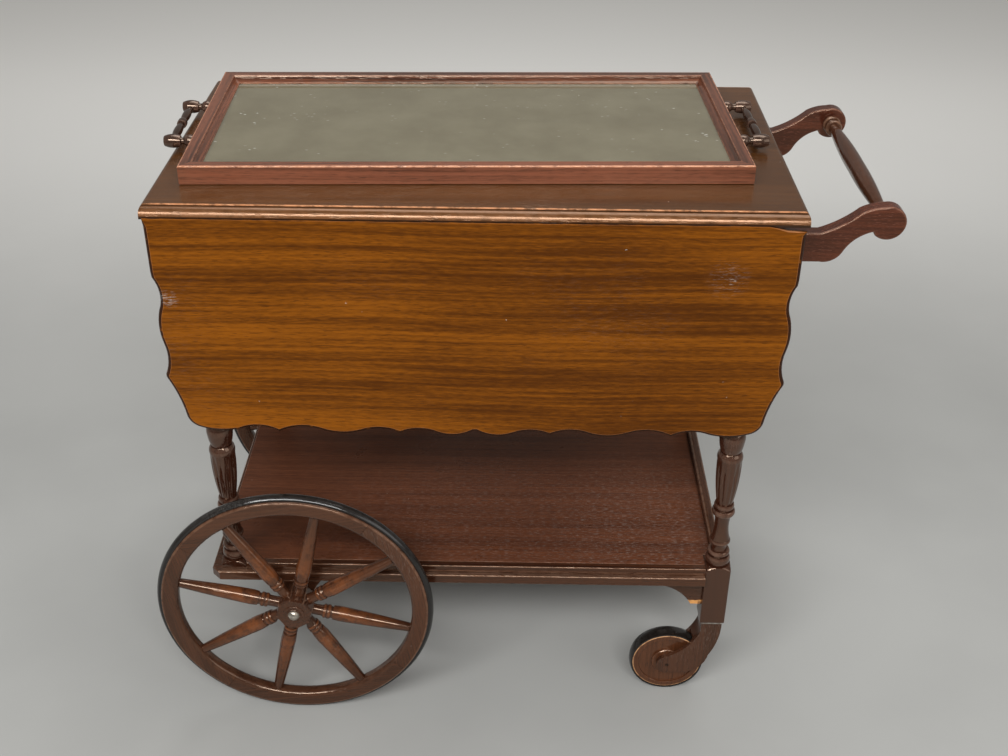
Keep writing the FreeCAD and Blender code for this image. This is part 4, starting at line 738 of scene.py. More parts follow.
def ring_section(corners):
    """A closed section from corners (across, up, rise of the arc that leads there, edge value), and the
    edge value of each of its points."""
    across, up, rises, edges = np.array(corners, float).T
    stops = np.stack([across, up], axis=1)
    points = arcs(np.roll(stops, 1, axis=0), stops, rises, ARC_SAMPLES)[:, :-1].reshape(-1, 2) * MM
    share = np.linspace(0, 1, ARC_SAMPLES)[:-1]
    return points, (np.roll(edges, 1)[:, None] * (1 - share) + edges[:, None] * share).ravel()


QUARTER = 1 - math.sqrt(0.5)
RULE_RADIUS, TOP_ARRIS, END_ROUND = 9.5, 1.0, 6.0
ARRIS_WEAR_AND_HIGHLIGHT_LINE, STEP_SHADOW_LINE = 1.2, 0.4
OVOLO_SHADOW_TURN = math.radians(10)
PLATE_SHOW = 0.15
END_STEPS = 8
TOP_PLANK = 0.4
MOULDED_SHARP = 28


def hinge_line(side):
    """The y and z of the line that a leaf turns about: the middle of its hinge pins."""
    low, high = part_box("hinge_pins")
    radius = (high.z - low.z) / 2
    return SIDES[side] * (high.y - radius), low.z + radius


def top_section(under, top):
    """The closed section of the top: on each side the round about the hinge line, the step and the arris.
    An arc of radius r over the angle a has the rise r (1 - cos(a / 2))."""
    hinge_y, hinge_z = (item / MM for item in hinge_line("back"))
    edge, step, arris = hinge_y + RULE_RADIUS, hinge_z + RULE_RADIUS, hinge_y - TOP_ARRIS
    shadow_end_y, shadow_end_z = RULE_RADIUS * np.array([math.cos(OVOLO_SHADOW_TURN), math.sin(OVOLO_SHADOW_TURN)])
    half = [(edge, under, 0, -1), (edge, hinge_z, 0, -1),
            (hinge_y + shadow_end_y, hinge_z + shadow_end_z, RULE_RADIUS * (1 - math.cos(OVOLO_SHADOW_TURN / 2)), 0.2),
            (hinge_y, step, RULE_RADIUS * (1 - math.cos((np.pi / 2 - OVOLO_SHADOW_TURN) / 2)), 0),
            (hinge_y, step + STEP_SHADOW_LINE, 0, -1), (hinge_y, top - TOP_ARRIS, 0, 0.8),
            (arris, top, TOP_ARRIS * QUARTER, 0.8), (arris - ARRIS_WEAR_AND_HIGHLIGHT_LINE, top, 0, 0)]
    back_rises = [0] + [corner[2] for corner in half[:0:-1]]
    other = [(-across, up, rise, value) for (across, up, _, value), rise in zip(half[::-1], back_rises)]
    return ring_section(half + other)


def make_top():
    """The section carried along X, no higher than a quarter round allows near each end."""
    low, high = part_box("top_board")
    section, rubbed_and_painted_light = top_section(low.z / MM + PLATE_SHOW, high.z / MM)
    d = END_ROUND * (1 - np.cos(np.linspace(0, np.pi / 2, END_STEPS))) * MM
    ceiling = high.z - (END_ROUND * MM - np.sqrt((END_ROUND * MM) ** 2 - (END_ROUND * MM - d) ** 2))
    x = np.concatenate([low.x + d, high.x - d[::-1]])
    cut = np.concatenate([ceiling, ceiling[::-1]])
    rise = np.minimum(section[:, 1], cut[:, None])
    points = np.stack([np.broadcast_to(x[:, None], rise.shape),
                       np.broadcast_to(section[:, 0], rise.shape), rise], axis=-1)
    shell = capped_tube(points, points + TOP_PLANK, rubbed_and_painted_light)
    return make_piece("top_board_moulded", [shell], "frame", "top_mahogany", ["top_board"], MOULDED_SHARP)


top_piece = make_top()
print(top_piece.name, "points:", len(top_piece.data.vertices))

# %% [markdown]
# ## The drop leaves
# A leaf is a shaped board whose top edge is hollowed to ride over the quarter round of the top: the rule
# joint. Its outer rim is well rounded. The ring of the outline is carried from the outer face round the
# edge to the back. Along the top the back follows the hollow: at a drop below the hinge line it is as deep
# as that line less sqrt(r^2 - drop^2), where r is the radius of the hollow. At the right end of the front
# leaf the thin lip has broken away, so its top edge dips there.

# %% The outline of a leaf
COVE = 10 * MM
CHIP_RAMP = 24 * MM
CHIP_LONG = 40 * MM
CHIP_DEEP = 5.2 * MM
COVE_ROWS = 8
LIP_COLUMNS = 72


def leaf_rim(side):
    """The outline below the hollow, from the left side down, along the hem and up the right side."""
    loop = outlines(f"leaf_{side}", ALONG_Y, SIDES[side])[0][:, ::-1]
    x, z = loop.T
    loop = np.roll(loop, -np.argmin(x - z), axis=0)
    if loop[1, 1] > loop[-1, 1] or loop[1, 0] > loop[-1, 0]:
        loop = np.roll(loop[::-1], 1, axis=0)
    return loop[loop[:, 1] < hinge_line(side)[1] - COVE - MM]


def leaf_lip(side):
    """The top edge: x, height and chip c, which goes from 0 to 1 and lowers the lip by d c c (3 - 2 c)."""
    low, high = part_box(f"leaf_{side}")
    x = np.linspace(low.x, high.x, LIP_COLUMNS)
    chip = np.clip((x - high.x + CHIP_LONG) / CHIP_RAMP, 0, 1) * (side == "front")
    return x, high.z - CHIP_DEEP * chip ** 2 * (3 - 2 * chip), chip


def leaf_hollow(lip, hinge_z, axis_deep, thick):
    """Rows from the lip down to the end of the hollow: share of the way, heights and depths. The last
    row steps to the leaf's back."""
    share = np.append(np.linspace(0, 1, COVE_ROWS - 1), 1)
    heights = lip + (hinge_z - COVE - lip) * share[:, None]
    drop = np.clip(hinge_z - heights, 0, COVE)
    depths = axis_deep - np.sqrt(COVE ** 2 - drop ** 2)
    depths[-1] = thick
    return share, heights, depths


def distinct_set_in(loop):
    """The set-in of a loop in which some points repeat: a repeated point takes its twin's."""
    twin = np.linalg.norm(loop - np.roll(loop, 1, axis=0), axis=1) < MERGE
    single = set_in(loop[~twin])
    return single[np.cumsum(~twin) - 1]


print("rim of a leaf, points:", len(leaf_rim("front")))

# %% [markdown]
# ## A leaf as one closed mesh
# The ring runs down the left end of the hollow, along the rim, up the right end and back along the lip.
# Its rows go round the edge to the back, where a second grid fills the hollow between the same points.
# The rim's dark colour is painted shade and its thin light line a painted highlight; these, and the raw
# wood of the chip, are `edge` values on those rows. The back and the hollow take the same dark colour.

# %% Leaf surfaces
LEAF_ROUND = 4.5 * MM
LIP_ROUND = 0.5 * MM
LEAF_BACK_ROUND = 1.0 * MM
RIM_TURN = [0, 4, 9, 22, 38, 55, 72, 90]
# edge round the rim: painted shade (1) on its rounding, a painted highlight line (-0.7) where that begins
RIM_PAINTED_SHADE_AND_HIGHLIGHT = np.array([0, -0.7, 1, 1, 1, 1, 1, 1])
BUTT_END_RIGHT = (-1, 1, 1)


def leaf_rows(nearness, back, broken):
    """Inset r (1 - sin a), depth r (1 - cos a) and edge value of each row round the rim, then of two rows
    at the back. The radius r grows from the lip to the rim."""
    turn = np.radians(RIM_TURN)
    edge_round = LIP_ROUND + (LEAF_ROUND - LIP_ROUND) * nearness
    back_round = LEAF_BACK_ROUND * (nearness == 1)
    inset = np.concatenate([np.outer(1 - np.sin(turn), edge_round), [0 * back_round, back_round]])
    deep = np.concatenate([np.outer(1 - np.cos(turn), edge_round), [back - back_round, back]])
    rim_edge = np.outer(RIM_PAINTED_SHADE_AND_HIGHLIGHT, nearness > 0) - np.outer(RIM_PAINTED_SHADE_AND_HIGHLIGHT != 0, broken)
    return inset, deep, np.concatenate([rim_edge, [1 - 2 * broken, 0 * broken]])


def leaf_faces(rows, count, own):
    """Faces of the ring grid, the outer face, the grid of the hollow and the flat back below it."""
    last = (rows - 1) * count
    faces = tube_faces(rows, count)
    faces.append(list(range(count)))
    cove = np.empty((COVE_ROWS, LIP_COLUMNS), int)
    cove[:, 0] = last + np.arange(COVE_ROWS)
    cove[:, -1] = last + COVE_ROWS + own + np.arange(COVE_ROWS)[::-1]
    cove[0, 1:-1] = last + count - 1 - np.arange(LIP_COLUMNS - 2)
    cove[1:, 1:-1] = rows * count + np.arange(cove[1:, 1:-1].size).reshape(COVE_ROWS - 1, -1)
    faces += grid_faces(cove)
    faces.append(cove[-1, ::-1].tolist() + list(range(last + COVE_ROWS, last + COVE_ROWS + own)))
    return faces


def make_leaf(side):
    """A leaf: point(k, j) = ring point j set in by inset(k, j), at depth(k, j) behind the outer face."""
    hinge_y, hinge_z = hinge_line(side)
    low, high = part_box(f"leaf_{side}")
    outer, inner = (low.y, high.y) if side == "front" else (high.y, low.y)
    thick = abs(inner - outer) - PLATE_SHOW * MM
    x, lip, chip = leaf_lip(side)
    share, heights, depths = leaf_hollow(lip, hinge_z, abs(hinge_y - outer), thick)
    rim = leaf_rim(side)
    own = len(rim)
    left = np.stack([np.full(COVE_ROWS, x[0]), heights[:, 0]], axis=1)
    right = np.stack([np.full(COVE_ROWS, x[-1]), heights[:, -1]], axis=1)[::-1]
    top = np.stack([x, lip], axis=1)[-2:0:-1]
    ring = np.concatenate([left, rim, right, top])
    nearness = np.concatenate([share, np.ones(own), share[::-1], np.zeros(len(top))])
    back = np.concatenate([depths[:, 0], np.full(own, thick), depths[::-1, -1], depths[0, -2:0:-1]])
    broken = np.concatenate([np.zeros(len(ring) - len(top)), chip[-2:0:-1]])
    inset, deep, rubbed_and_painted_light = leaf_rows(nearness, back, broken)
    flat = ring + inset[..., None] * distinct_set_in(ring)
    inwards = -SIDES[side]
    rows = np.stack([flat[..., 0], outer + inwards * deep, flat[..., 1]], axis=-1)
    inside = np.stack([np.broadcast_to(x, heights.shape), outer + inwards * depths, heights],
                      axis=-1)[1:, 1:-1].reshape(-1, 3)
    points = np.concatenate([rows.reshape(-1, 3), inside])
    shell = {"points": points, "faces": leaf_faces(len(rows), len(ring), own),
             "grain": points * BUTT_END_RIGHT + (0, 0, hinge_y),
             "edge": np.concatenate([rubbed_and_painted_light.ravel(), np.ones(len(inside))])}
    return make_piece(f"leaf_{side}_board", [shell], f"{side}_leaf", "leaf_mahogany", [f"leaf_{side}"])


for side_name in SIDES:
    leaf = make_leaf(side_name)
    print(leaf.name, "points:", len(leaf.data.vertices))

# %% [markdown]
# ## Turned work
# A lathe piece is a list of members, from one end to the other: how long each is, its radius at the
# start and end, and how far the curve between swells out or hollows in. An arc of rise s over a chord c
# has the radius c c / 8 s + s / 2. The profile is then spun: point(h, a) = h along the axis plus r(h) at
# angle a. How far a point stands out from its neighbours tells where hands rub; on the legs it also
# places painted highlights.

# %% Lathe helpers
ROUND_COLUMNS = 40
RUB_REACH, RUB_FULL = 3.5 * MM, 0.9 * MM
RUB_STEPS = 11


def lathe(members, start=0.0, samples=7):
    """The (radius, height) profile of a list of members; a start of None goes on from the last end."""
    ends = [member[2] for member in members]
    begins = [last if member[1] is None else member[1] for member, last in zip(members, [None] + ends)]
    heights = start + np.cumsum([0] + [member[0] for member in members])
    starts = np.stack([begins, heights[:-1]], axis=1)
    stops = np.stack([ends, heights[1:]], axis=1)
    swells = np.array([member[3] for member in members], float)
    return arcs(starts, stops, swells, samples).reshape(-1, 2) * MM


def proud(profile):
    """How far each point of a profile stands out from the mean of its neighbours, from 0 to 1."""
    radius, height = profile.T
    around = height[:, None] + np.linspace(-RUB_REACH, RUB_REACH, RUB_STEPS)
    return np.clip((radius - np.interp(around, height, radius).mean(axis=1)) / RUB_FULL, 0, 1)


def turned(profile, origin, along, side, shape=None, columns=ROUND_COLUMNS, seed=0.0):
    """A profile spun about a line: point(h, a) = h along it and r(h) at the angle a. A function
    shape(r, h, a) can give another reach, to flute the piece or to square it."""
    radius, height = profile[:, :1], profile[:, 1:]
    angle = np.arange(columns) * (2 * np.pi / columns)
    reach = np.broadcast_to(radius, (len(profile), columns))
    if shape is not None:
        reach = shape(radius, height, angle)
    away = np.cos(angle)[:, None] * side + np.sin(angle)[:, None] * np.cross(along, side)
    points = np.asarray(origin) + height[..., None] * along + reach[..., None] * away
    grain = np.stack([np.broadcast_to(height, reach.shape), reach * np.cos(angle), reach * np.sin(angle)],
                     axis=-1) + seed
    return capped_tube(points, grain, proud(profile)[:, None])


def mirror(profile, length):
    """A profile from one end followed by the same from the other."""
    return np.concatenate([profile, (profile * (1, -1) + (0, length))[::-1]])


# %% [markdown]
# ## Legs
# A leg is one length of wood: square where rails and shelf are joined to it, turned between. The lathe
# also takes the corners off the squares where they meet the turning, which leaves a rounded tongue on
# each face. So the surface is one formula: the smaller of the square's reach, half / max(|cos|, |sin|)
# with its corners eased, and the lathe's radius at that height. The vase carries twelve shallow flutes.

# %% Leg surfaces
LEG_TURNING = [
    # length, radius at the start and at the end, swell
    (13, 13.6, 13.6, 1.8), (1.5, 11.4, 11.4, 0), (6.5, 12.6, 12.6, 1.3), (9, 9.8, 9.8, -0.5),
    (2, None, 11.8, -0.2), (6, 12, 12, 1), (38, 11.8, 10.6, -2.4), (8, 12.8, 12.8, 1.4),
    (1.2, 10.4, 10.4, 0), (7.5, 11.3, 11.3, 1), (64.5, 9.9, 14.9, 1.6), (12, None, 12.6, 1.6),
    (1.5, 11.4, 11.4, 0), (14, 12.6, 15.2, 0.4), (19, None, 9.6, 2.5), (8, None, 9.6, -0.7),
    (9, 11.5, 11.5, 1.8), (100.3, 10.6, 13, 0.6), (10, 13.2, 13.2, 1.4), (10.5, 11.8, 14.8, -1.2),
    (12, None, 14.8, 0),
]
PLINTH = 12
TONGUE = 14
BLOCK = 120
BLOCK_ROWS = np.array([0, 0.6, 1.5, 3, 4.5, 6, 8, TONGUE])
VASE = (104.7, 169.2)
FLUTES = 12
FLUTE_DEEP = 0.1
FLUTE_RUN_OUT = 6
FLUTE_NARROW = 1.5
LEG_COLUMNS = 96
LEG_RUB_AND_HIGHLIGHT = 0.5
LEG_PLANK_STEP = 0.31
CORNER_SHARPNESS = 30


def square_reach(half, angle):
    """The reach of a square with slightly eased corners: a power mean of its two half widths."""
    power = abs(np.cos(angle)) ** CORNER_SHARPNESS + abs(np.sin(angle)) ** CORNER_SHARPNESS
    return half / power ** (1 / CORNER_SHARPNESS)


def block_profile(bottom, top, half, open_low, open_high):
    """Heights of a square block, close together at the ends, and the lathe's radius where it is open."""
    near = BLOCK_ROWS[BLOCK_ROWS < top - bottom]
    heights = np.unique(np.concatenate([bottom + near, top - near]))
    wide = np.full(len(heights), 2 * half)
    cone_low = half * (1 + (heights - bottom) / TONGUE) if open_low else wide
    cone_high = half * (1 + (top - heights) / TONGUE) if open_high else wide
    return np.stack([np.minimum(np.minimum(cone_low, cone_high), wide), heights], axis=1) * MM


def make_leg(side, end):
    """A leg: the lathe's radius at each height, less d (0.5 + 0.5 cos 12 a)^1.5 of it on the vase, and the
    smaller of that radius and the square's reach at the blocks."""
    node = f"leg_{side}_{end}"
    low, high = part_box(node)
    middle = (low + high) / 2
    half = (high.x - low.x) / 2
    ledge = (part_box("shelf_panel")[0].z - low.z) / MM
    turning = lathe(LEG_TURNING, ledge + PLINTH)
    block_top = (high.z - low.z) / MM
    low_block = block_profile(0, ledge + PLINTH, half / MM, False, True)
    high_block = block_profile(block_top - BLOCK, block_top, half / MM, True, False)
    profile = np.concatenate([low_block, turning, high_block])
    squared = np.repeat([True, False, True], [len(low_block), len(turning), len(high_block)])[:, None]
    flute_low, flute_high = ((ledge + height) * MM for height in VASE)

    def shape(radius, height, angle):
        """The reach of the fluted turning, or of the square where the leg is left square."""
        place = np.clip((height - flute_low) / (flute_high - flute_low), 0, 1)
        depth = FLUTE_DEEP * np.clip(FLUTE_RUN_OUT * place, 0, 1) * np.clip(FLUTE_RUN_OUT * (1 - place), 0, 1)
        fluted = radius * (1 - depth * (0.5 + 0.5 * np.cos(FLUTES * angle)) ** FLUTE_NARROW)
        return np.where(squared, np.minimum(square_reach(half, angle), radius), fluted)

    foot = (middle.x, middle.y, low.z)
    shell = turned(profile, foot, Z, X, shape, LEG_COLUMNS, len(node) * LEG_PLANK_STEP)
    # The rings' crests take the worn colour: rubbed wood and a painted highlight; the square blocks take
    # none.
    shell["edge"] = np.where(np.repeat(squared, LEG_COLUMNS), 0, LEG_RUB_AND_HIGHLIGHT * shell["edge"])
    return make_piece(f"{node}_turned", [shell], "frame", "dark_mahogany", [node], finish="leg_mahogany")


for side_name in SIDES:
    for end_name in ("left", "right"):
        leg = make_leg(side_name, end_name)
        print(leg.name, "points:", len(leg.data.vertices))

# %% [markdown]
# ## The rims of the large wheels
# A wheel is built like a cart's. Four curved felloes, each sawn from straight-grained wood and holding
# two spokes, are butted into a rim, and a rubber tyre is stretched round it. Both are sections carried
# round the axle, as Blender's Screw modifier would do, but each felloe gets grain of its own. A hair's
# breadth between felloes keeps their points, and so their grain, apart.

# %% Rings about an axle
SPOKES = 8
SPOKE_TURN = math.radians(31.5)
FELLOES = 4
FIRST_JOINT = 2.5
JOINT = math.radians(0.06)


def swept(section, centre, spin, first, last, columns, seed, edge):
    """A section carried round the axle: point(k, a) = centre + r (cos a, spin * sin a) + w along Y."""
    angle = np.linspace(first, last, columns)
    middle = (first + last) / 2
    radius, width = section.T
    away = np.stack([np.cos(angle), 0 * angle, spin * np.sin(angle)], axis=1)
    points = centre + radius[:, None] * away[:, None] + width[:, None] * Y
    tangent = np.array([-np.sin(middle), 0, spin * np.cos(middle)])
    outward = np.array([np.cos(middle), 0, spin * np.sin(middle)])
    local = points - centre
    grain = np.stack([local @ tangent, local @ outward, local[..., 1]], axis=-1) + seed
    return capped_tube(points, grain, edge)


def middle_of(node):
    """The middle of a solid's box."""
    low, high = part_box(node)
    return np.array((low + high) / 2)


def wheel_centre(side):
    """The middle of a large wheel: that of its rim."""
    return middle_of(f"wheel_rim_{side}")


# %% Rim and tyre
RIM_OUTER, RIM_INNER, RIM_HALF = 166, 145, 9
RIM_ROUND, RIM_EDGE = 6, 2
TYRE_OUTER, TYRE_HALF = 172, 5.75
TYRE_FIT = 0.05
FELLOE_COLUMNS, TYRE_COLUMNS = 41, 161
FELLOE_PLANK_STEP = 0.71


def make_rim(side):
    """Four felloes: a section, well rounded inside and eased outside, carried round a quarter turn each."""
    bend, ease = RIM_ROUND * QUARTER, RIM_EDGE * QUARTER
    inner, outer = RIM_INNER + RIM_ROUND, RIM_OUTER - RIM_EDGE
    # Edge values: 0.6 on the outer arrises, rubbed wood and partly a painted highlight, 0.2 on the inner
    # round.
    corners = [(RIM_INNER, RIM_HALF - RIM_ROUND, bend, 0.2), (RIM_INNER, -RIM_HALF + RIM_ROUND, 0, 0.2),
               (inner, -RIM_HALF, bend, 0), (outer - 1, -RIM_HALF, 0, 0), (outer, -RIM_HALF, 0, 0.6),
               (RIM_OUTER, -RIM_HALF + RIM_EDGE, ease, 0.6), (RIM_OUTER, RIM_HALF - RIM_EDGE, 0, 0.6),
               (outer, RIM_HALF, ease, 0.6), (outer - 1, RIM_HALF, 0, 0), (inner, RIM_HALF, 0, 0)]
    section, rubbed_and_painted_light = ring_section(corners)
    first = SPOKE_TURN + FIRST_JOINT * 2 * np.pi / SPOKES
    joints = first + 2 * np.pi / FELLOES * np.arange(FELLOES + 1)
    shells = [swept(section, wheel_centre(side), -SIDES[side], joints[k] + JOINT, joints[k + 1] - JOINT,
                    FELLOE_COLUMNS, FELLOE_PLANK_STEP * k, rubbed_and_painted_light) for k in range(FELLOES)]
    return make_piece(f"wheel_rim_{side}_felloes", shells, f"{side}_wheel", "dark_mahogany",
                      [f"wheel_rim_{side}"])


def ring_shell(section, centre, spin, columns, edge):
    """A section carried all the way round: its last ring falls on its first, so no caps are needed."""
    shell = swept(section, centre, spin, 0, 2 * np.pi, columns, 0.0, edge)
    shell["faces"] = shell["faces"][:-2]
    return shell


def make_tyre(node, body, inner, outer, half, columns):
    """A rubber band whose tread is one arc from flank to flank, through its crown."""
    flank = (inner + outer) / 2
    crown = outer - flank
    bend = (half ** 2 + crown ** 2) / (2 * crown)
    rise = bend - math.sqrt(bend ** 2 - (half ** 2 + crown ** 2) / 4)
    corners = [(inner, -half, 0, 0), (flank, -half, 0, 0), (outer, 0, rise, 1), (flank, half, rise, 0),
               (inner, half, 0, 0)]
    section, rubbed_and_painted_light = ring_section(corners)
    shell = ring_shell(section, middle_of(node), 1, columns, rubbed_and_painted_light)
    return make_piece(f"{node}_band", [shell], body, "tyre_rubber", [node])


for side_name in SIDES:
    make_rim(side_name)
    make_tyre(f"wheel_tyre_{side_name}", f"{side_name}_wheel", RIM_OUTER + TYRE_FIT, TYRE_OUTER, TYRE_HALF,
              TYRE_COLUMNS)
print("rims of", FELLOES, "felloes, centred at", wheel_centre("front").round(4))

# %% [markdown]
# ## Hubs and spokes
# Eight turned spokes stand on the flats of an eight-sided hub that narrows a little at both ends. So its
# reach is the octagon's, scaled by the lathe's radius at that height, and only the boss in the middle is
# round. A nickel cap, a flat dome, covers the end of the axle. The spokes are where hands and shoes touch
# a wheel, so their bellies are lightened to a warm brown: rubbed wood and a painted highlight. The arrises
# along the hub's sides are lightened the same way.

# %% Hub, spokes and cap
HUB_FLATS, HUB_HALF, HUB_CORNER = 43, 17.5, 23.4
HUB_TURNING = [
    # length, radius at the start and at the end, swell
    (3.5, 22.3, HUB_CORNER, 0), (28, None, HUB_CORNER, 0), (3.5, None, 22.3, 0), (0, None, 13.2, 0),
    (1.2, None, 12.5, 0.3), (0, None, 9.4, 0), (1.2, None, 8.75, 0.2),
]
HUB_BOSS = 15
HUB_SIDE = 22
HUB_ARRIS_RUB_AND_HIGHLIGHT = 0.9
HUB_FACE = 19.9
HUB_SHARP = 22
HUB_PLANK = 0.43
CAP_RADIUS, CAP_HIGH = 7.3, 4.5
CAP_ROWS = 12
SPOKE_TURNING = [
    # length, radius at the start and at the end, swell
    (13, 7.2, 7.2, -0.5), (4.5, 8.2, 8.2, 0.7), (5, 8.4, 8.4, 0.7), (3, 7.6, 7.6, -0.3),
    (14, 8.8, 9.6, 0.3), (83.8, None, 5.7, 0.4),
]
SPOKE_BELLY_RUB_AND_HIGHLIGHT = [(24, 0), (36, 0.9), (70, 0.5), (115, 0)]
SPOKE_PLANK_STEP = 0.19
SPOKE_COLUMNS = 28
HUB_COLUMNS = 96


def octagon_reach(angle):
    """The reach of an eight-sided block whose flats face the angles 0, 45, 90 and so on: half its width
    over the cosine of the angle from the middle of the nearest flat."""
    eighth = np.pi / 4
    return HUB_FLATS / 2 * MM / np.cos((angle + eighth / 2) % eighth - eighth / 2)


def spoke_way(side, k):
    """The way from the axle along a spoke; the back wheel is the front one's mirror image."""
    angle = SPOKE_TURN + 2 * np.pi / SPOKES * k
    return np.array([np.cos(angle), 0, -SIDES[side] * np.sin(angle)])


def make_hub(side):
    """The hub: the octagon's reach times the lathe's radius over its largest, and that radius at the boss."""
    profile = lathe(HUB_TURNING, -HUB_HALF)
    cut = profile[:, :1] > HUB_BOSS * MM

    def shape(radius, _, angle):
        """The reach of the octagon where the hub is cut, and of the lathe elsewhere."""
        return np.where(cut, octagon_reach(angle) * radius / (HUB_CORNER * MM), radius)

    hub = turned(profile, wheel_centre(side), SIDES[side] * Y, spoke_way(side, 0), shape, HUB_COLUMNS,
                 HUB_PLANK)
    flat_columns = HUB_COLUMNS // SPOKES
    arris = np.arange(HUB_COLUMNS) % flat_columns == flat_columns // 2
    along_side = profile[:, :1] > HUB_SIDE * MM
    # Light lines on the arrises along the hub's sides: rubbed wood and a painted highlight that outlines the
    # octagon.
    hub["edge"] = HUB_ARRIS_RUB_AND_HIGHLIGHT * (along_side & arris).ravel()
    make_piece(f"wheel_hub_{side}_block", [hub], f"{side}_wheel", "dark_mahogany", [f"wheel_hub_{side}"],
               HUB_SHARP)


def make_spokes(side):
    """Eight spokes from the flats of the hub to the rim, each a profile spun about its own way out."""
    profile = lathe(SPOKE_TURNING, HUB_FLATS / 2)
    belly = np.interp(profile[:, 1] / MM - HUB_FLATS / 2, *np.transpose(SPOKE_BELLY_RUB_AND_HIGHLIGHT))
    spokes = [turned(profile, wheel_centre(side), spoke_way(side, k), Y, None, SPOKE_COLUMNS,
                     SPOKE_PLANK_STEP * k) for k in range(SPOKES)]
    for spoke in spokes:
        spoke["edge"] = np.maximum(spoke["edge"], np.repeat(belly, SPOKE_COLUMNS))
    make_piece(f"wheel_spokes_{side}_turned", spokes, f"{side}_wheel", "dark_mahogany",
               [f"wheel_spokes_{side}"], finish="warm_mahogany")


def make_cap(side):
    """A dome that rises h over a circle of radius r: part of a sphere of radius (r r + h h) / 2 h."""
    bend = (CAP_RADIUS ** 2 + CAP_HIGH ** 2) / (2 * CAP_HIGH)
    tilt = np.linspace(np.arcsin(CAP_RADIUS / bend), 0, CAP_ROWS)
    dome = np.stack([bend * np.sin(tilt), HUB_FACE + CAP_HIGH - bend + bend * np.cos(tilt)], axis=1) * MM
    make_piece(f"hub_cap_{side}_dome", [turned(dome, wheel_centre(side), SIDES[side] * Y, X)],
               f"{side}_wheel", "cap_nickel", [f"hub_cap_{side}"])


for side_name in SIDES:
    make_hub(side_name)
    make_spokes(side_name)
    make_cap(side_name)
print("hubs and caps:", len(SIDES), "with", SPOKES, "spokes each")

# %% [markdown]
# ## Casters
# Each caster is a wooden horn with two cheeks and a small wheel trailing between them. The wheel is a
# turned disc with a band, a recess and a boss. The horn's slot is scooped out by the wheel's own circle,
# which no single grid follows, so the horn is made another way: a copy of its solid with the flat faces
# joined up again and every sharp edge eased by a Bevel modifier. A steel plate shows between horn and leg.

# %% Caster wheels and horns
CASTER_RADIUS, CASTER_INNER, CASTER_HALF = 49, 45, 8.5
CASTER_DISC = [
    # radius and half the width there
    (3, 9.2), (19.3, 9.2), (20, 8.4), (20, 6.2), (21, 6), (35.8, 6), (36.8, 6.4), (37.2, 8), (37.8, 8.5),
    (43.2, 8.5), (44, 8.5), (45, 7.7),
]
CASTER_RUB, CASTER_RUB_WIDE = 43.2, 0.8
CASTER_COLUMNS, CASTER_TYRE_COLUMNS = 72, 97
HORN_EASE = 1.6 * MM
HORN_SEGMENTS = 3
HORN_SHARP = 40
HORN_PLANK = 0.37
IN_ONE_PLANE = 1
PLATE_X, PLATE_Y, PLATE_EASE = 13, 15, 0.4
PLATE_REACH = 0.9


def make_caster_wheel(side):
    """A small wheel: half a section after its mirror image, spun about the axle, and a tyre round it."""
    node = f"caster_wheel_{side}"
    half = np.array(CASTER_DISC) * MM
    profile = np.concatenate([half * (1, -1), half[::-1]])
    disc = turned(profile, middle_of(node), Y, X, None, CASTER_COLUMNS)
    worn = np.clip((profile[:, 0] / MM - CASTER_RUB) / CASTER_RUB_WIDE, 0, 1)
    disc["edge"] = np.repeat(worn, CASTER_COLUMNS)
    disc["grain"] = disc["points"][:, [2, 0, 1]]
    body = f"{side}_caster_wheel"
    make_piece(f"{node}_disc", [disc], body, "dark_mahogany", [node], finish="caster_mahogany")
    make_tyre(f"caster_tyre_{side}", body, CASTER_INNER + TYRE_FIT, CASTER_RADIUS, CASTER_HALF,
              CASTER_TYRE_COLUMNS)


def make_horn(side):
    """The horn: its solid's own points and faces, with a bevel that comes before the even normals."""
    node = f"caster_horn_{side}"
    spots, triangles = node_arrays(node)
    shell = {"points": spots, "faces": triangles.tolist(), "grain": spots[:, [2, 0, 1]] + HORN_PLANK,
             "edge": np.zeros(len(spots))}
    horn = make_piece(f"{node}_eased", [shell], f"{side}_caster", "dark_mahogany", [node])
    join_flat_faces(horn.data)
    ease = horn.modifiers.new("eased edges", "BEVEL")
    ease.width = HORN_EASE
    ease.segments = HORN_SEGMENTS
    ease.limit_method = "ANGLE"
    ease.angle_limit = math.radians(HORN_SHARP)
    ease.use_clamp_overlap = True
    horn.modifiers.move(1, 0)


def join_flat_faces(mesh):
    """Dissolve the edges between triangles that lie in one plane."""
    work = bmesh.new()
    work.from_mesh(mesh)
    bmesh.ops.dissolve_limit(work, angle_limit=math.radians(IN_ONE_PLANE), verts=work.verts,
                             edges=work.edges)
    work.to_mesh(mesh)
    work.free()
    mesh.set_sharp_from_angle(angle=math.radians(SHARP))


def make_pivot(side):
    """The steel plate that shows between leg and horn, and the stem that turns in the leg."""
    node = f"caster_pivot_{side}"
    low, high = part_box(node)
    middle = (low + high) / 2
    spots = node_arrays(node)[0] - middle
    out = abs(spots[:, 0])
    plate_top = spots[out > PLATE_REACH * out.max(), 2].max() + middle.z
    stem = out[spots[:, 2] > 0].max() / MM
    corners = np.array([(-PLATE_X, -PLATE_Y), (PLATE_X, -PLATE_Y), (PLATE_X, PLATE_Y), (-PLATE_X, PLATE_Y)])
    plate = eased_board(corners * MM + (middle.x, middle.y), ALONG_Z, low.z, plate_top, PLATE_EASE * MM,
                        PLATE_EASE * MM)
    rod = lathe([((high.z - plate_top) / MM, stem, stem, 0)])
    post = turned(rod, (middle.x, middle.y, plate_top), Z, X)
    make_piece(f"{node}_plate", [plate, post], f"{side}_caster", "bare_steel", [node])


for side_name in SIDES:
    make_caster_wheel(side_name)
    make_horn(side_name)
    make_pivot(side_name)
print("casters:", len(SIDES))

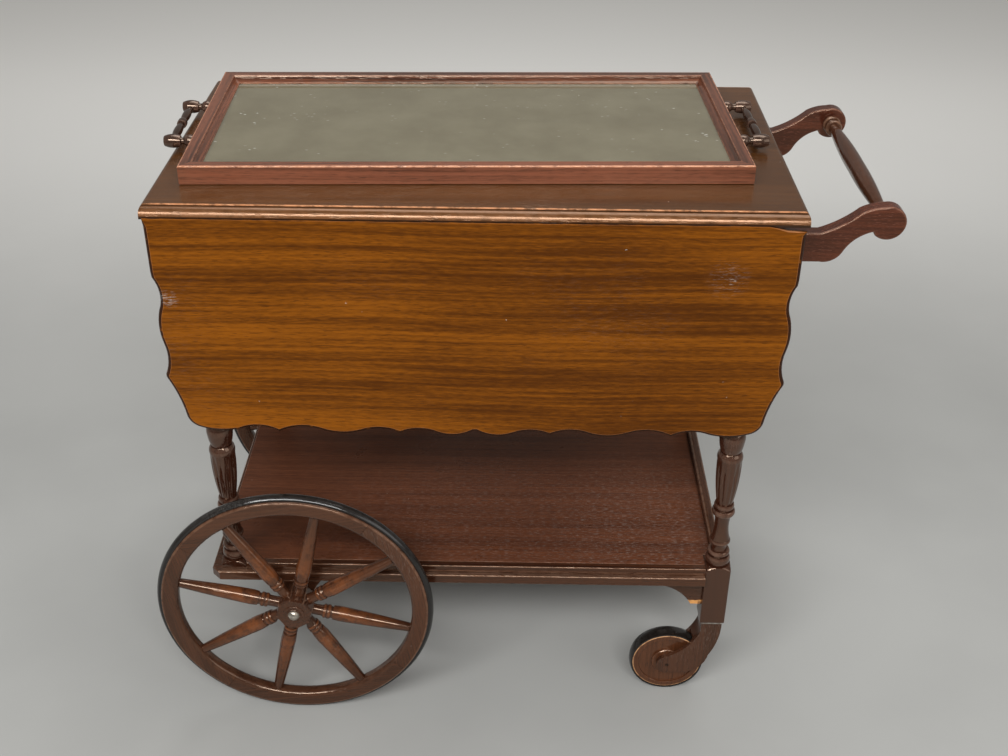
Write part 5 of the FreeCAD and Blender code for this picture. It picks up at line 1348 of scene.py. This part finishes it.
# %% [markdown]
# ## The push handle
# Two sawn arms end in scrolls and hold a turned rail. The arms are eased boards already. The rail is
# half a profile, followed by the same half mirrored.

# %% Handle rail
RAIL_TURNING = [
    # length, radius at the start and at the end, swell
    (9, 10.2, 10.4, 1.2), (5, 8.4, 7.2, -0.4), (7, 8.6, 8.6, 1.8), (3, 6.6, 6.2, 0),
    (12, None, 7, -0.3), (107, None, 10.2, 1.2),
]
RAIL_SAMPLES = 9
RAIL_PLANK = 0.83


def make_rail():
    """The rail: a profile and its mirror image, spun about a line along Y."""
    low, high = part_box("handle_rail")
    start = ((low.x + high.x) / 2, low.y, (low.z + high.z) / 2)
    profile = mirror(lathe(RAIL_TURNING, 0, RAIL_SAMPLES), high.y - low.y)
    shell = turned(profile, start, Y, X, seed=RAIL_PLANK)
    return make_piece("handle_rail_turned", [shell], "frame", "dark_mahogany", ["handle_rail"])


rail = make_rail()
print(rail.name, "points:", len(rail.data.vertices))

# %% [markdown]
# ## The tray
# The tray's frame is four mitred lengths of one moulding. A mitre is simple as a surface: a point of the
# section that lies an inset i from the outer face runs from -(L / 2 - i) to L / 2 - i along its side, so
# both ends come out at 45 degrees and neighbours meet, but for a hair's breadth that keeps their points
# from being merged: each length has its own grain. The handles are turned posts and a grip of two
# bulges with a ring between.

# %% Tray frame and handles
TRAY_TURN = math.radians(2)
TRAY_LONG, TRAY_WIDE = 623.5, 314.5
MITRE_GAP = 0.03 * MM
# Edge values lighten the arrises with the worn colour: rubbed wood and partly a painted highlight, most on
# the outer top arris.
TRAY_SECTION = [
    # inset, height, rise of the arc that leads there, edge value
    (21, 0.4, 0.05, 0), (21, 13.2, 0, 0.4), (20.4, 14, 0.1, 0), (14.3, 20.6, -0.8, 0), (13.6, 21.2, 0.1, 0.3),
    (12.8, 21.4, 0.05, 0.2), (12.2, 21.4, 0, 0), (2, 21.4, 0, 0), (1.4, 21.4, 0, 0.9), (0, 20, 0.41, 0.9),
    (0, 19.4, 0, 0), (0, 0.8, 0, 0), (0.8, 0, 0.2, 0), (20.6, 0, 0, 0),
]
TRAY_AXIS = 10.9
POST_TURNING = [(11, 5.2, 5.2, 2.0), (5, 4.4, 4.4, -0.6), (17.6, 6.2, 6.2, 1.8), (1.4, None, 4.6, 0.4)]
POST_SPREAD, POST_LONG, GRIP_BACK = 113, 35, 9.5
POST_PLANK, GRIP_PLANK = 0.3, 0.9
HANDLE_COLUMNS = 28
GRIP_TURNING = [(12, 3.3, 3.5, 0), (36, 3.5, 3.7, 1.4), (3, 3.5, 3.5, 0), (5.5, 5.2, 5.7, 0.15)]


def tray_place():
    """The middle of the tray's underside, and its long and wide ways."""
    low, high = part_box("tray_frame")
    along = np.array([math.cos(TRAY_TURN), math.sin(TRAY_TURN), 0])
    return np.array([(low.x + high.x) / 2, (low.y + high.y) / 2, low.z]), along, np.cross(Z, along)


def make_tray_frame():
    """Four sides: point(end, k) = end * (half the length - inset k) along a side, the inset from its outer
    face and the height of the section's point k."""
    centre, along, across = tray_place()
    section, rubbed_and_painted_light = ring_section(TRAY_SECTION)
    reach = np.array([-1, 1])[:, None]
    shells = []
    sides = [(along, -across, TRAY_LONG, TRAY_WIDE, 0.2), (along, across, TRAY_LONG, TRAY_WIDE, 0.9),
             (across, along, TRAY_WIDE, TRAY_LONG, 1.6), (across, -along, TRAY_WIDE, TRAY_LONG, 2.3)]
    for way, out, long, wide, plank in sides:
        run = reach * (long / 2 * MM - section[:, 0] - MITRE_GAP)
        stand = np.broadcast_to(wide / 2 * MM - section[:, 0], run.shape)
        rise = np.broadcast_to(section[:, 1], run.shape)
        points = centre + run[..., None] * way + stand[..., None] * out + rise[..., None] * Z
        shells.append(capped_tube(points, np.stack([run, stand, rise], axis=-1) + plank, rubbed_and_painted_light))
    return make_piece("tray_frame_mitred", shells, "tray", "tray_mahogany", ["tray_frame"], MOULDED_SHARP)


def make_tray_handle(end, outward):
    """Two turned posts that stand out from an end of the tray, and a turned grip from one to the other."""
    centre, along, across = tray_place()
    middle = centre + TRAY_AXIS * MM * Z
    way = outward * along
    shells = []
    for hand in (-1, 1):
        root = middle + way * TRAY_LONG / 2 * MM + hand * POST_SPREAD / 2 * MM * across
        shells.append(turned(lathe(POST_TURNING), root, way, across, None, HANDLE_COLUMNS, POST_PLANK * hand))
    first = middle + way * (TRAY_LONG / 2 + POST_LONG - GRIP_BACK) * MM - POST_SPREAD / 2 * MM * across
    grip = mirror(lathe(GRIP_TURNING), POST_SPREAD * MM)
    shells.append(turned(grip, first, across, way, None, HANDLE_COLUMNS, GRIP_PLANK))
    return make_piece(f"tray_handle_{end}_turned", shells, "tray", "dark_mahogany", [f"tray_handle_{end}"],
                      finish="grip_mahogany")


make_tray_frame()
make_tray_handle("left", -1)
make_tray_handle("right", 1)
print("tray centre:", tray_place()[0].round(4))

# %% [markdown]
# ## Floor and light
# The picture is taken in plain soft studio light on a pale floor. A long box of light above the front
# draws a sheen along the mouldings, a broad lamp overhead lights the boards, a weaker one from the
# right fills the shadows, and a pale world does the rest. The floor turns paler behind the trolley, as a
# lit backdrop does.

# %% Floor and lights
FLOOR_SIZE = 14.0
FLOOR_NEAR = (0.31, 0.31, 0.298), (0.335, 0.335, 0.322)
FLOOR_FAR = (0.86, 0.85, 0.82)
FLOOR_FADE = 0.3, 2.4
FLOOR_ROUGH = 0.85
WORLD_COLOUR, WORLD_STRENGTH = (1.0, 0.98, 0.94), 0.27
LAMPS = [
    # name, place, aims at, length, width, watts
    ("key", (-0.4, -2.1, 2.2), (0, 0, 0.4), 2.8, 0.6, 98),
    ("overhead", (0.3, 0.7, 2.8), (0, 0, 0.6), 2.6, 1.4, 42),
    ("fill", (2.4, -1.8, 1.5), (0, 0, 0.4), 1.8, 1.8, 16),
]


def make_floor():
    """A square floor at height zero, its colour eased from near to far along Y."""
    material, tree, shader = new_material("pale_floor")
    place = add_node(tree, "ShaderNodeTexCoord").outputs["Object"]
    mottle = ramped(tree, noise(tree, place, 3, 4), 0.3, 0.7)
    near = mixed(tree, mottle, *FLOOR_NEAR)
    depth = add_node(tree, "ShaderNodeSeparateXYZ", {0: place}).outputs["Y"]
    colour = mixed(tree, ramped(tree, depth, *FLOOR_FADE), near, FLOOR_FAR)
    fill_all(tree, shader.inputs, {"Base Color": colour, "Roughness": FLOOR_ROUGH})
    half = FLOOR_SIZE / 2
    mesh = bpy.data.meshes.new("floor")
    corners = [(-half, -half, 0), (half, -half, 0), (half, half, 0), (-half, half, 0)]
    mesh.from_pydata(corners, [], [(0, 1, 2, 3)])
    mesh.materials.append(material)
    floor = bpy.data.objects.new("floor", mesh)
    bpy.context.collection.objects.link(floor)
    return floor


def make_lamp(name, place, target, length, width, watts):
    """A rectangular lamp that shines from a place at a target."""
    light = bpy.data.lights.new(name, "AREA")
    light.shape = "RECTANGLE"
    light.size = length
    light.size_y = width
    light.energy = watts
    lamp = bpy.data.objects.new(name, light)
    lamp.location = place
    aim = Vector(target) - lamp.location
    lamp.rotation_euler = aim.to_track_quat("-Z", "Y").to_euler()
    bpy.context.collection.objects.link(lamp)
    return lamp


world = bpy.data.worlds.new("pale_room")
world.use_nodes = True
background = world.node_tree.nodes["Background"].inputs
fill_all(world.node_tree, background, {"Color": WORLD_COLOUR, "Strength": WORLD_STRENGTH})
bpy.context.scene.world = world
bpy.context.scene.view_settings.view_transform = "Standard"
make_floor()
[make_lamp(*lamp) for lamp in LAMPS]
print("lamps:", ", ".join(lamp[0] for lamp in LAMPS))

# %% [markdown]
# ## Camera
# The camera stands where the photograph was taken from. Its place, pitch, swing and roll, and its focal
# length in pixels, were worked out from the corners of the trolley. Three turns of a level camera give the
# ways right, down and ahead, which are the columns of its matrix once down and ahead are reversed.

# %% Camera
CAMERA_PLACE = np.array([7.3, -1409.9, 1248.9]) * MM
PITCH, SWING, ROLL = np.radians([31.87, 0.43, 0.57])
FOCAL_PIXELS, PICTURE_PIXELS = 1263.5, 1008


def turn_about(axis, angle):
    """The 3 by 3 matrix of a turn about one axis."""
    return np.array(Matrix.Rotation(angle, 3, axis))


level = np.array([X, -Z, Y])
right, down, ahead = turn_about("Z", ROLL) @ turn_about("X", PITCH) @ turn_about("Y", SWING) @ level
lens = bpy.data.cameras.new("photo_camera")
lens.sensor_fit = "HORIZONTAL"
lens.lens = lens.sensor_width * FOCAL_PIXELS / PICTURE_PIXELS
camera = bpy.data.objects.new("photo_camera", lens)
pose = np.eye(4)
pose[:3, :3] = np.stack([right, -down, -ahead], axis=1)
pose[:3, 3] = CAMERA_PLACE
camera.matrix_world = Matrix(pose.tolist())
bpy.context.collection.objects.link(camera)
bpy.context.scene.camera = camera
print("camera looks along", ahead.round(4))
